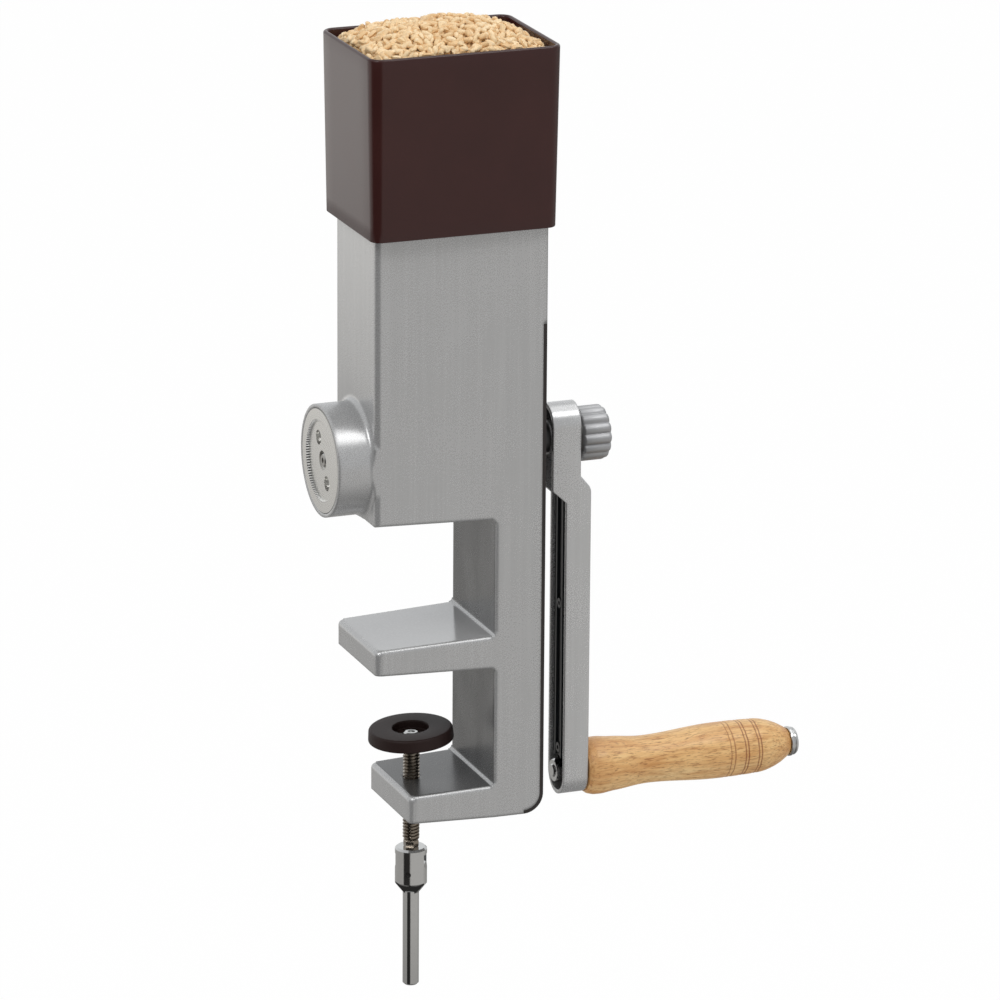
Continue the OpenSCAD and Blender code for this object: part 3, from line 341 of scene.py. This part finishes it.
def plated_metal(name, tint, roughness):
    """Bright plating with the faintest waviness."""
    f = Finish(name)
    waves = f.noise(f.place(), 120, 2)
    specks = f.noise(f.place(), 900, 2)
    f.set(Base_Color=f.mix(f.ramp(waves, 0, 0.5), tint, shade(tint, 0.9)), Metallic=1.0,
          Roughness=f.ramp(specks, roughness * 0.7, roughness * 1.5, 0.3, 0.7),
          Normal=f.bump(waves, 0.05, 0.0003))
    return f.finish()


def grained_plastic(name, tint, roughness, grain=2200, depth=0.10, specular=0.5):
    """Moulded plastic with a fine eroded grain."""
    f = Finish(name)
    pits = f.noise(f.place(), grain, 3, 0.6)
    clouds = f.noise(f.place(), 30, 3)
    f.set(Base_Color=f.mix(f.ramp(clouds, 0, 1, 0.3, 0.7), tint, shade(tint, 1.18)),
          Roughness=f.ramp(clouds, roughness * 0.92, roughness * 1.1) + (pits - 0.5) * 0.12,
          Normal=f.bump(pits, depth, 0.00006), Specular_IOR_Level=specular)
    return f.finish()


def bonded_stone(name):
    """Pale grit bonded into a millstone."""
    f = Finish(name)
    grit = f.noise(f.place(), 1100, 4, 0.7)
    dark = f.add("TexVoronoi", {}, {"Vector": f.place(), "Scale": 900.0})
    colour = f.colours(grit, (0.3, (0.30, 0.28, 0.25)), (0.5, (0.52, 0.50, 0.45)), (0.72, (0.70, 0.68, 0.62)))
    colour = f.mix(f.ramp(dark, 0.5, 0, 0.1, 0.35), colour, (0.20, 0.18, 0.15))
    f.set(Base_Color=colour, Roughness=0.9, Normal=f.bump(grit, 0.6, 0.0003))
    return f.finish()


def turned_wood(name):
    """Oiled hardwood with dark pores along the grip, long streaks, burnt pairs of rings and painted shade at
    the bulb's end.
    """
    f = Finish(name)
    bands = f.noise(f.place((9, 80, 80), shift=(0.3, 0.1, 0)), 1.0, 3, 0.55, 0.6)
    pores = f.noise(f.place((190, 1500, 1500)), 1.0, 3, 0.6)
    fibres = f.noise(f.place((50, 620, 620), shift=(0, 3, 1)), 1.0, 3, 0.55, 0.3)
    figure = f.noise(f.place((30, 230, 230)), 1.0, 2, 0.5, 0.4)
    colour = f.colours(bands, (0.28, linear(214, 160, 96)), (0.5, linear(234, 190, 128)),
                       (0.75, linear(243, 208, 150)))
    colour = f.mix(f.ramp(figure, 0, 0.6, 0.5, 0.72), colour, linear(204, 142, 78))
    colour = f.mix(f.ramp(fibres, 0, 0.5, 0.50, 0.66), colour, linear(184, 122, 62))
    colour = f.mix(f.ramp(pores, 0, 0.72, 0.53, 0.66), colour, linear(146, 90, 44))
    x, _, z = f.parts(f.place())
    wander = (f.noise(f.place((0, 90, 90)), 1.0, 2) - 0.5) * 0.0022
    burnt = None
    for place, width, amount in GRIP_RINGS:
        ring = f.ramp((x + wander - place * MM).size(), amount, 0, width * 0.35 * MM, width * MM)
        burnt = ring if burnt is None else burnt.most(ring)
    colour = f.mix(burnt * f.ramp(pores, 0.7, 1.0), colour, linear(132, 66, 24))
    # Painted shade: darker and more orange towards the bulb's end
    bulb_painted_shade = f.ramp(x - z * 0.3, 0.36, 0, (GRIP_X + 24) * MM, (GRIP_X + 40) * MM)
    colour = f.mix(bulb_painted_shade, colour, linear(186, 116, 56))
    f.set(Base_Color=colour, Roughness=f.ramp(pores, 0.38, 0.52), Normal=f.bump(pores, 0.14, 0.0002),
          Coat_Weight=0.2, Coat_Roughness=0.18)
    return f.finish()


def wheat_skin(name):
    """Husked wheat: each grain its own shade of straw."""
    f = Finish(name)
    each = f.add("NewGeometry", out="Random Per Island")
    veins = f.noise(f.place((900, 900, 900)), 1.0, 2)
    colour = f.colours(each, (0.0, linear(224, 186, 136)), (0.35, linear(236, 206, 160)),
                       (0.7, linear(244, 220, 180)), (1.0, linear(232, 196, 146)))
    colour = f.mix(f.ramp(veins, 0, 0.3, 0.45, 0.75), colour, linear(206, 160, 108))
    f.set(Base_Color=colour, Roughness=0.5, Normal=f.bump(veins, 0.15, 0.0002))
    return f.finish()


casting = blasted_casting("blasted_casting", linear(181, 181, 181), openings=True)
arm_casting = blasted_casting("blasted_arm", linear(197, 197, 197), edge=1.2)
turned = turned_metal("turned_aluminium", linear(222, 221, 218), 0.27, SHAFT_Z * MM)
dial_metal = toothed_dial("dial_aluminium", linear(222, 221, 218))
knob_metal = brushed_metal("knob_aluminium", linear(182, 182, 183), 0.48)
steel = turned_metal("plain_steel", linear(178, 176, 172), 0.26)
thread_steel = turned_metal("oiled_steel", linear(146, 136, 124), 0.26)
shaft_steel = turned_metal("shaft_steel", linear(178, 176, 172), 0.26, SHAFT_Z * MM)
plating = plated_metal("bright_plating", linear(198, 198, 197), 0.10)
hopper_brown = grained_plastic("hopper_brown", linear(52, 24, 22), 0.24, specular=0.36)
cover_brown = grained_plastic("cover_brown", linear(32, 25, 24), 0.32)
disc_brown = grained_plastic("disc_brown", linear(39, 27, 25), 0.46, 1800, 0.14, 0.16)
black_moulding = grained_plastic("black_moulding", linear(30, 35, 38), 0.3)
# Dark steel, also used as painted shade on the spacer collar
black_steel = grained_plastic("blackened_steel_and_painted_shade", linear(38, 37, 36), 0.3)
rubber = grained_plastic("seal_rubber", linear(34, 34, 34), 0.7)
bronze = turned_metal("sintered_bronze", linear(176, 138, 84), 0.4, SHAFT_Z * MM)
stone = bonded_stone("millstone_grit")
wood = turned_wood("turned_wood")
wheat = wheat_skin("wheat_skin")

SLOT_FINISH = {
    "cast_aluminium": casting,
    "machined_aluminium": turned,
    "bright_steel": shaft_steel,
    "bright_plating": plating,
    "dark_moulding": cover_brown,
    "black_moulding": black_moulding,
    "black_steel": black_steel,
    "stone": stone,
    "bronze": bronze,
    "seal_rubber": rubber,
    "turned_wood": wood,
}
NODE_FINISH = {
    "crank_arm": arm_casting,
    "hopper": hopper_brown,
    "pressure_disc": disc_brown,
    "clamp_knob": knob_metal,
    "clamp_screw": thread_steel,
    "grind_dial": dial_metal,
    "neck_pin": steel,
    "swivel_ball": steel,
    "lever_pin": black_steel,
    # Painted shade: the spacer collar, which sits in shade between the cover and the arm, takes the dark
    # steel
    "spacer_collar": black_steel,
    "inlay_screws": black_steel,
}
node_slot = {s["node"]: s["material_slot"] for s in frame["record"]["subparts"]}
for node_name, solid in frame["nodes"].items():
    solid.data.materials.clear()
    solid.data.materials.append(NODE_FINISH.get(node_name, SLOT_FINISH[node_slot[node_name]]))


# Shapes
def soft_corners(points, step=9):
    """A line through (a, b, radius) points with an arc at each corner that has a radius."""
    line = []
    for i, (a, b, radius) in enumerate(points):
        if not radius or i in (0, len(points) - 1):
            line.append((a, b))
            continue
        here, before, after = Vector((a, b)), Vector(points[i - 1][:2]), Vector(points[i + 1][:2])
        u, v = (before - here).normalized(), (after - here).normalized()
        half = math.acos(max(-1, min(1, u.dot(v)))) / 2
        reach = radius / math.tan(half)
        start, end = here + u * reach, here + v * reach
        centre = here + (u + v).normalized() * radius / math.sin(half)
        first = math.atan2(start.y - centre.y, start.x - centre.x)
        sweep = math.atan2(end.y - centre.y, end.x - centre.x) - first
        sweep = (sweep + math.pi) % (2 * math.pi) - math.pi
        count = max(2, math.ceil(abs(math.degrees(sweep)) / step))
        for k in range(count + 1):
            angle = first + sweep * k / count
            line.append((centre.x + radius * math.cos(angle), centre.y + radius * math.sin(angle)))
    return line


def make(name, verts, faces, finish, body, replaces, crease):
    """A mesh piece from points in millimetres, shaded smooth between its creases."""
    mesh = bpy.data.meshes.new(name)
    mesh.from_pydata([(x * MM, y * MM, z * MM) for x, y, z in verts], [], faces)
    shape = bmesh.new()
    shape.from_mesh(mesh)
    bmesh.ops.remove_doubles(shape, verts=shape.verts, dist=1e-7)
    bmesh.ops.recalc_face_normals(shape, faces=shape.faces)
    shape.to_mesh(mesh)
    shape.free()
    mesh.shade_smooth()
    mesh.set_sharp_from_angle(angle=math.radians(crease))
    mesh.materials.append(finish)
    piece = bpy.data.objects.new(name, mesh)
    bpy.context.scene.collection.objects.link(piece)
    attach(piece, body)
    if replaces:
        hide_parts(*replaces)


def stack(rings, closed=False):
    """Joins rings of equal length into one skin, as a closed loop or with a cap at each end."""
    count = len(rings[0])
    verts = [p for ring in rings for p in ring]
    faces = []
    last = len(rings) if closed else len(rings) - 1
    for i in range(last):
        a, b = i * count, ((i + 1) % len(rings)) * count
        faces += [(a + k, a + (k + 1) % count, b + (k + 1) % count, b + k) for k in range(count)]
    if not closed:
        faces.append(tuple(range(count)))
        faces.append(tuple(range(len(verts) - count, len(verts))))
    return verts, faces


def lathe(line, put, segments=96, closed=False):
    """Turns a line of (along, radius) points about the axis that put() lays out."""
    rings = [[put(along, max(radius, 1e-4), 2 * math.pi * k / segments) for k in range(segments)]
             for along, radius in line]
    return stack(rings, closed)


def about_grip(along, radius, angle):
    return (along, radius * math.cos(angle), GRIP_Z + radius * math.sin(angle))


def about_screw(along, radius, angle):
    return (radius * math.cos(angle), radius * math.sin(angle), along)


def join_parts(*shapes):
    """Several shapes as one list of points and one of faces."""
    verts, faces = [], []
    for more_verts, more_faces in shapes:
        base = len(verts)
        verts += more_verts
        faces += [tuple(i + base for i in face) for face in more_faces]
    return verts, faces


def box_ring(w, d, r, z):
    """One level of a box with rounded upright corners, round the hopper's middle."""
    corner, straight = 8, 6
    half_w, half_d = w / 2 - r, d / 2 - r
    centres = [(half_w, half_d), (-half_w, half_d), (-half_w, -half_d), (half_w, -half_d)]

    def at(i, quarters):
        x, y = centres[i % 4]
        angle = math.radians(90 * quarters)
        return (x + r * math.cos(angle), y + r * math.sin(angle))

    ring = []
    for i in range(4):
        ring += [at(i, i + k / corner) for k in range(corner + 1)]
        (x0, y0), (x1, y1) = at(i, i + 1), at(i + 1, i + 1)
        ring += [(x0 + (x1 - x0) * k / straight, y0 + (y1 - y0) * k / straight) for k in range(1, straight)]
    return [(HOPPER_MID + x, y, z) for x, y in ring]


# Hopper and wheat
def build_hopper():
    rings = []
    foot, foot_edge, rim = HOPPER_TAPER, 0.5, 1.35
    inner_round, collar_r, least_r = 3, 6, 0.8
    inside = HOPPER_Z0 + HOPPER_WALL
    collar_z = HOPPER_Z0 - COLLAR_H

    def level(inset, z):
        rings.append(box_ring(HOPPER_W - 2 * inset, HOPPER_D - 2 * inset, max(HOPPER_R - inset, least_r), z))

    def collar_level(inset, z):
        rings.append(box_ring(FUNNEL_W - 2 * inset, FUNNEL_D - 2 * inset, max(collar_r - inset, least_r), z))

    # up the outside
    collar_level(0, HOPPER_Z0)
    level(foot + foot_edge, HOPPER_Z0)
    level(foot + 0.15, HOPPER_Z0 + 0.15)
    level(foot, HOPPER_Z0 + foot_edge)
    outer_steps = 12
    for k in range(1, outer_steps + 1):
        share = k / outer_steps
        level(foot * (1 - share), HOPPER_Z0 + foot_edge + (HOPPER_Z1 - rim - HOPPER_Z0 - foot_edge) * share)
    # over the rim
    for k in range(1, 9):
        a = math.radians(22.5 * k)
        level(rim + 0.15 * (k / 8) - rim * math.cos(a), HOPPER_Z1 - rim + rim * math.sin(a))
    # down the inside and through the collar
    for k in range(1, 10):
        share = k / 10
        level(HOPPER_WALL + foot * share, HOPPER_Z1 - rim + (inside + inner_round - HOPPER_Z1 + rim) * share)
    for k in range(0, 5):
        a = math.radians(22.5 * k)
        level(HOPPER_WALL + foot + inner_round * (1 - math.cos(a)), inside + inner_round * (1 - math.sin(a)))
    collar_level(HOPPER_WALL, inside)
    collar_level(HOPPER_WALL, collar_z)
    collar_level(0.3, collar_z)
    collar_level(0, collar_z + 0.3)
    verts, faces = stack(rings, closed=True)
    make("hopper_shell", verts, faces, hopper_brown, "hopper_box", ["hopper"], 40)


def heap_height(x, y):
    """Height of the wheat above the hopper's rim, at a place measured from the hopper's middle."""
    u, v = x / HEAP_HALF_W, y / HEAP_HALF_D
    dome = max(0.0, 1 - abs(u) ** 2.4) * max(0.0, 1 - abs(v) ** 2.2)
    low = -3.0 - 3.6 * max(0.0, u) ** 3 - 3.5 * max(0.0, v) ** 2
    broad_bumps = 1.6 * noise.noise(Vector((x * 0.06, y * 0.06, 3.1)))
    small_bumps = 0.8 * noise.noise(Vector((x * 0.15, y * 0.15, 8.3)))
    return low + HEAP_RISE * dome ** 0.6 + (broad_bumps + small_bumps) * min(1, dome * 3)


def heap_slope(x, y):
    """The direction that points straight out of the heap at a place."""
    reach = 1.0
    across = heap_height(x - reach, y) - heap_height(x + reach, y)
    along = heap_height(x, y - reach) - heap_height(x, y + reach)
    return Vector((across, along, 2 * reach)).normalized()


def grain_shape():
    """One wheat grain along x, with its crease underneath."""
    rings, around = 7, 8
    points = []
    for i in range(1, rings):
        t = i / rings
        along = math.cos(math.pi * t)
        girth = math.sin(math.pi * t) ** 0.72 * (1 - 0.12 * along)
        for k in range(around):
            a = 2 * math.pi * k / around
            y, z = math.cos(a), math.sin(a)
            if k == around * 3 // 4:
                z *= 0.62
            points.append((along, y * girth, z * girth))
    points = [(1.03, 0, 0)] + points + [(-1.0, 0, 0)]
    faces = [(0, 1 + k, 1 + (k + 1) % around) for k in range(around)]
    for i in range(rings - 2):
        a, b = 1 + i * around, 1 + (i + 1) * around
        faces += [(a + k, b + k, b + (k + 1) % around, a + (k + 1) % around) for k in range(around)]
    end, tail = len(points) - 1, 1 + (rings - 2) * around
    faces += [(end, tail + (k + 1) % around, tail + k) for k in range(around)]
    return points, faces


def build_wheat():
    pick = random.Random(41)
    grain, skin = grain_shape()
    verts, faces = [], []
    for layer, (drop, step) in enumerate(WHEAT_LAYERS):
        x = -WHEAT_HALF_W
        while x < WHEAT_HALF_W:
            y = -WHEAT_HALF_D
            while y < WHEAT_HALF_D:
                gx = x + pick.uniform(-0.5, 0.5) * step + (layer * 1.3)
                gy = y + pick.uniform(-0.5, 0.5) * step
                long, wide, high = [pick.uniform(*span) for span in (GRAIN_LONG, GRAIN_WIDE, GRAIN_HIGH)]
                yaw = pick.uniform(0, 2 * math.pi)
                pitch = pick.gauss(0, 0.35)
                roll = pick.uniform(0, 2 * math.pi)
                lift = pick.uniform(-0.7, 0.7)
                keep = pick.random()
                y += step
                if layer == 2 and keep > TOP_LAYER_SHARE:
                    continue
                room_w = WALL_HALF_W - long * abs(math.cos(yaw)) - WALL_GAP
                room_d = WALL_HALF_D - long * abs(math.sin(yaw)) - WALL_GAP
                gx = max(-room_w, min(room_w, gx))
                gy = max(-room_d, min(room_d, gy))
                turn = Vector((0, 0, 1)).rotation_difference(heap_slope(gx, gy)).to_matrix()
                for angle, axis in ((yaw, "Z"), (pitch, "Y"), (roll, "X")):
                    turn = turn @ Matrix.Rotation(angle, 3, axis)
                centre = Vector((HOPPER_MID + gx, gy, HOPPER_Z1 + heap_height(gx, gy) - drop + lift))
                base = len(verts)
                verts += [tuple(centre + turn @ Vector((a * long, b * wide, c * high))) for a, b, c in grain]
                faces += [tuple(i + base for i in f) for f in skin]
            x += step
    make("wheat_grains", verts, faces, wheat, "hopper_box", (), 60)

    columns, rows = 40, 30
    bed, tiles = [], []
    for i in range(columns + 1):
        for j in range(rows + 1):
            x = -BED_HALF_W + 2 * BED_HALF_W * i / columns
            y = -BED_HALF_D + 2 * BED_HALF_D * j / rows
            bed.append((HOPPER_MID + x, y, HOPPER_Z1 - BED_DROP + heap_height(x, y)))
    for i in range(columns):
        for j in range(rows):
            a, b = i * (rows + 1) + j, (i + 1) * (rows + 1) + j
            tiles.append((a, b, b + 1, a + 1))
    make("wheat_bed", bed, tiles, wheat, "hopper_box", (), 60)


# Crank
def build_knob():
    lobe, mid, groove = KNOB_R * 0.21, KNOB_R * 0.79, KNOB_R * 0.9
    part = 2 * math.pi / KNOB_LOBES

    def radius(angle):
        off = (angle + part / 2) % part - part / 2
        inside = lobe * lobe - (mid * math.sin(off)) ** 2
        crest = mid * math.cos(off) + math.sqrt(inside) if inside > 0 else 0
        return max(crest, groove)

    count = KNOB_LOBES * 20
    angles = [2 * math.pi * k / count for k in range(count)]
    outline = [(radius(angle), math.cos(angle), math.sin(angle)) for angle in angles]
    profile = [
        (0.0, 3.0), (0.0, 1.2), (0.35, 0.45), (1.0, 0.0), (KNOB_LEN - 2.6, 0.0), (KNOB_LEN - 1.6, 0.25),
        (KNOB_LEN - 0.7, 0.95), (KNOB_LEN - 0.15, 2.0), (KNOB_LEN, 3.0),
    ]
    rings = [[(KNOB_X + along, (r - inset) * c, SHAFT_Z + (r - inset) * s) for r, c, s in outline]
             for along, inset in profile]
    verts, faces = stack(rings)
    make("lobed_knob", verts, faces, knob_metal, "crank", ["clamp_knob"], 38)


def grip_radius(t):
    """Radius of the wooden grip at a share t of its length."""
    bulb, waist, belly = GRIP_BULB / 2, GRIP_WAIST / 2, GRIP_BELLY / 2
    brow = belly * 0.965
    bulb_end, waist_at, belly_at, brow_at = 0.125, 0.3, 0.655, 0.86

    def ease(a, b, share):
        return a + (b - a) * (1 - math.cos(math.pi * share)) / 2

    if bulb_end < t < waist_at:
        return ease(0.94 * bulb, waist, (t - bulb_end) / 0.175)
    if waist_at <= t < belly_at:
        return ease(waist, belly, (t - waist_at) / 0.355)
    if belly_at <= t < brow_at:
        return belly - (belly - brow) * ((t - belly_at) / 0.205) ** 2
    if t <= bulb_end:
        rows = [(0, 0.84), (0.015, 0.93), (0.04, 0.985), (0.068, 1), (0.095, 0.99), (bulb_end, 0.94)]
        rows = [(place, share * bulb) for place, share in rows]
    else:
        rows = [(brow_at, 1), (0.885, 0.955), (0.908, 0.9), (0.935, 0.82), (0.958, 0.73), (0.98, 0.62)]
        rows = [(place, share * brow) for place, share in rows] + [(1, GRIP_TIP / 2 - 1)]
    for (a, ra), (b, rb) in zip(rows, rows[1:]):
        if t <= b:
            return ra + (rb - ra) * (t - a) / (b - a)
    return rows[-1][1]


def build_grip():
    steps, spread = 260, 0.006
    line = [(GRIP_X, BOLT_BORE_R)]
    for i in range(steps + 1):
        t = i / steps
        radius = grip_radius(t)
        if 0.05 < t < 0.985:
            radius = sum(grip_radius(min(1, max(0, t + (k - 4) * spread))) for k in range(9)) / 9
        along = GRIP_X + GRIP_LEN * t
        burnt_in = sum(0.32 * math.exp(-((along - place) / 0.5) ** 2) for place, _, _ in GRIP_RINGS)
        line.append((along, radius - burnt_in))
    line.append((GRIP_X + GRIP_LEN, BOLT_BORE_R))
    verts, faces = lathe(line, about_grip, closed=True)
    make("turned_grip", verts, faces, wood, "turning_grip", ["wooden_grip"], 50)

    # the bolt's cap: places along it, radii and edge roundings
    cap_x = GRIP_X + GRIP_LEN + 0.3
    half = GRIP_TIP / 2
    cap = soft_corners([
        (cap_x, BOLT_R, 0), (cap_x, half, 0.7), (cap_x + 2.0, half, 0.7), (cap_x + 2.4, half - 0.9, 0.2),
        (cap_x + 3.0, half - 0.9, 0.2), (cap_x + 3.3, half - 0.4, 0.4), (cap_x + 4.9, half - 1.2, 1.2),
        (cap_x + 5.4, half - 4.6, 2.4), (cap_x + 5.4, 0, 0),
    ])
    shank = [(NUT_X - 0.9, 0), (NUT_X - 0.9, BOLT_R - 0.8), (NUT_X - 0.1, BOLT_R), (cap_x, BOLT_R)]
    verts, faces = lathe(shank + cap[1:], about_grip)
    make("capped_bolt", verts, faces, plating, "crank", ["grip_bolt"], 40)


# Table clamp
def build_clamp_screw():
    rows, around = 560, 48
    depth = THREAD_R - THREAD_ROOT_R

    def thread(height, angle):
        phase = ((height - THREAD_BOT) / THREAD_LEAD - angle / (2 * math.pi)) % 1
        groove = max(0.0, min(1.0, (abs(phase - 0.5) - 0.16) / 0.15))
        run_out = min(1.0, (THREAD_TOP - height) / 1.5, (height - THREAD_BOT) / 1.2)
        return THREAD_ROOT_R + depth * (1 - groove) * (0.4 + 0.6 * max(0.0, run_out))

    rings = []
    angles = [2 * math.pi * k / around for k in range(around)]
    for i in range(rows + 1):
        z = THREAD_TOP + (THREAD_BOT - THREAD_TOP) * i / rows
        rings.append([about_screw(z, thread(z, angle), angle) for angle in angles])
    threaded = stack(rings)
    tip = lathe([(THREAD_TOP - 0.5, 2.0), (THREAD_TOP - 0.5, SCREW_TIP_R), (SCREW_TIP_Z, SCREW_TIP_R),
                 (SCREW_TIP_Z, 0)], about_screw, 48)

    # the six-sided neck, each side in four steps
    levels = [(THREAD_BOT + 0.3, 0.9), (THREAD_BOT - 0.4, 0.2), (THREAD_BOT - 0.9, 0), (FORK_TOP + 0.5, 0),
              (FORK_TOP, 0.3)]
    corners = [math.radians(60 * k) - HEX_TURN for k in range(7)]
    sides = [(a, b, j / 4) for a, b in zip(corners, corners[1:]) for j in range(4)]
    neck = []
    for z, inset in levels:
        shrink = 1 - inset / HEX_R
        neck.append([(HEX_R * (math.cos(a) * (1 - t) + math.cos(b) * t) * shrink,
                      HEX_R * (math.sin(a) * (1 - t) + math.sin(b) * t) * shrink, z) for a, b, t in sides])
    tenon = lathe([(FORK_TOP + 0.5, TENON_R), (TENON_Z, TENON_R), (TENON_Z, 0)], about_screw, 40)
    verts, faces = join_parts(threaded, tip, stack(neck), tenon)
    make("threaded_screw", verts, faces, thread_steel, "screw", ["clamp_screw"], 28)


def build_disc():
    tilt = Matrix.Rotation(-DISC_TILT, 3, "Y")

    def about_ball(along, radius, angle):
        point = tilt @ Vector((radius * math.cos(angle), radius * math.sin(angle), along - BALL_Z))
        return (point.x, point.y, point.z + BALL_Z)

    line = soft_corners([
        (WELL_Z, SEAT_R, 0), (WELL_Z, WELL_R, 0.6), (DISC_FACE, WELL_R, 0.9), (DISC_FACE, DISC_R, 1.6),
        (DISC_BACK, DISC_R + 0.6, 1.0), (DISC_BACK, SEAT_MOUTH_R, 0.3), (-50.6, 6.4, 0), (-49.8, SEAT_R, 0),
    ], 12)
    verts, faces = lathe(line, about_ball, 120, closed=True)
    make("tilting_disc", verts, faces, disc_brown, "pad", ["pressure_disc"], 40)
    head = soft_corners([
        (WELL_Z, SCREW_TIP_R, 0), (-48.7, 4.8, 0.2), (-47.9, 4.8, 0.4), (-47.2, 3.6, 0.3), (-47.2, 2.2, 0.1),
        (-48.4, 2.0, 0), (-48.4, 0, 0),
    ])
    verts, faces = lathe(head, about_screw, 48)
    make("disc_screw_head", verts, faces, plating, "screw", ["disc_screw"], 35)


# Studio
def build_floor():
    """A white floor that keeps a little of the shadow.

    In reflections it is pale grey, with the dark sector of a studio flag towards the left front, and with a
    painted shadow of the mill under it.
    """
    floor = Finish("studio_floor", "BsdfDiffuse")
    floor.set(Color=(0.86, 0.86, 0.86))
    x, y, _ = floor.parts(floor.place())
    away = (x * x + y * y) ** 0.5
    far = floor.above(y - x, 2.3, 1.2)
    flag_half = floor.ramp(away, math.radians(FLAG_NEAR_HALF), math.radians(FLAG_FAR_HALF), 1.05, 1.4)
    from_flag = ((0 - x).angle(0 - y) - math.radians(FLAG_AT)).size()
    flag = floor.below(from_flag - flag_half, -0.07, 0.14)
    behind_right = floor.above(x, 0.0, 0.8) * floor.above(y, -0.1, 0.6)
    shine = floor.ramp(y - x, FLOOR_FRONT, FLOOR_LEFT, -0.5, 1.0) + far * far * FLOOR_FAR
    # Painted shadow: the floor is darker in reflections under the mill, where its shadow falls
    painted_mill_shadow = floor.ramp(away, 0.3, 1, 0.3, 0.8)
    shine = shine * painted_mill_shadow * (1 - flag * FLAG_DARK) * (1 - behind_right * BEHIND_RIGHT_DARK)
    camera, glossy = floor.outputs("LightPath", "Is Camera Ray", "Is Glossy Ray")
    glow = floor.tree.nodes.new("ShaderNodeEmission")
    floor.put(glow.inputs["Color"], floor.mix(camera, FLOOR_TINT, (1, 1, 1)))
    floor.put(glow.inputs["Strength"], camera.most(shine))
    blend = floor.tree.nodes.new("ShaderNodeMixShader")
    floor.put(blend.inputs[0], (camera * FLOOR_WHITE).most(glossy))
    floor.tree.links.new(floor.shader.outputs[0], blend.inputs[1])
    floor.tree.links.new(glow.outputs[0], blend.inputs[2])
    floor.shader = blend
    mesh = bpy.data.meshes.new("studio_floor")
    corners = [(-1, -1), (1, -1), (1, 1), (-1, 1)]
    corners = [(x * FLOOR_REACH, y * FLOOR_REACH, FLOOR_LEVEL) for x, y in corners]
    mesh.from_pydata(corners, [], [(0, 1, 2, 3)])
    mesh.materials.append(floor.finish())
    ground = bpy.data.objects.new("studio_floor", mesh)
    bpy.context.scene.collection.objects.link(ground)


def build_sky():
    """A soft sky that is white to the camera, with the flag's dark sector in reflections."""
    world = bpy.data.worlds.new("studio")
    bpy.context.scene.world = world
    sky = Finish("studio", "Background", world)
    camera, glossy, clear = sky.outputs("LightPath", "Is Camera Ray", "Is Glossy Ray", "Is Transmission Ray")
    x, y, z = sky.parts(sky.add("TexCoord", out="Generated"))
    from_flag = ((0 - x).angle(0 - y) - math.radians(FLAG_AT)).size()
    flag = sky.below(from_flag, 0.7, 0.2)
    flag = flag * sky.ramp(z, 0.8, 0, 0.2, 0.45)
    shine = sky.ramp(y, SKY_FRONT, SKY_BACK, -0.2, 0.9) * (1 - flag)
    strength = camera.most(clear).most(glossy * shine).most((1 - glossy) * SKY_LIGHT)
    sky.set(Color=sky.mix(glossy, (1, 1, 1), SKY_TINT), Strength=strength)
    sky.finish("World")


def hang_lamps():
    for name, place, size, power in LAMPS:
        light = bpy.data.lights.new(name, "AREA")
        light.shape = "RECTANGLE"
        light.size, light.size_y = size
        light.energy = power
        lamp = bpy.data.objects.new(name, light)
        lamp.location = place
        lamp.rotation_euler = (Vector(LAMPS_AIM) - Vector(place)).to_track_quat("-Z", "Y").to_euler()
        bpy.context.scene.collection.objects.link(lamp)


def place_camera():
    yaw, pitch, roll = [math.radians(angle) for angle in (CAMERA_YAW, CAMERA_PITCH, CAMERA_ROLL)]
    back = Vector((-math.sin(yaw) * math.cos(pitch), -math.cos(yaw) * math.cos(pitch), math.sin(pitch)))
    right = Vector((math.cos(yaw), -math.sin(yaw), 0))
    up = back.cross(right)
    across = right * math.cos(roll) + up * math.sin(roll)
    upward = up * math.cos(roll) - right * math.sin(roll)
    target = Vector(CAMERA_TARGET) * MM
    camera = bpy.data.objects.new("camera", bpy.data.cameras.new("camera"))
    camera.data.lens, camera.data.sensor_width = CAMERA_LENS, CAMERA_SENSOR
    camera.data.clip_start, camera.data.clip_end = 0.1, 60
    turn = Matrix((across, upward, back)).transposed()
    camera.matrix_world = Matrix.Translation(target + back * CAMERA_AWAY) @ turn.to_4x4()
    bpy.context.scene.collection.objects.link(camera)
    bpy.context.scene.camera = camera


build_hopper()
build_wheat()
build_knob()
build_grip()
build_clamp_screw()
build_disc()
build_floor()
build_sky()
hang_lamps()
place_camera()
bpy.context.scene.view_settings.view_transform = "Standard"
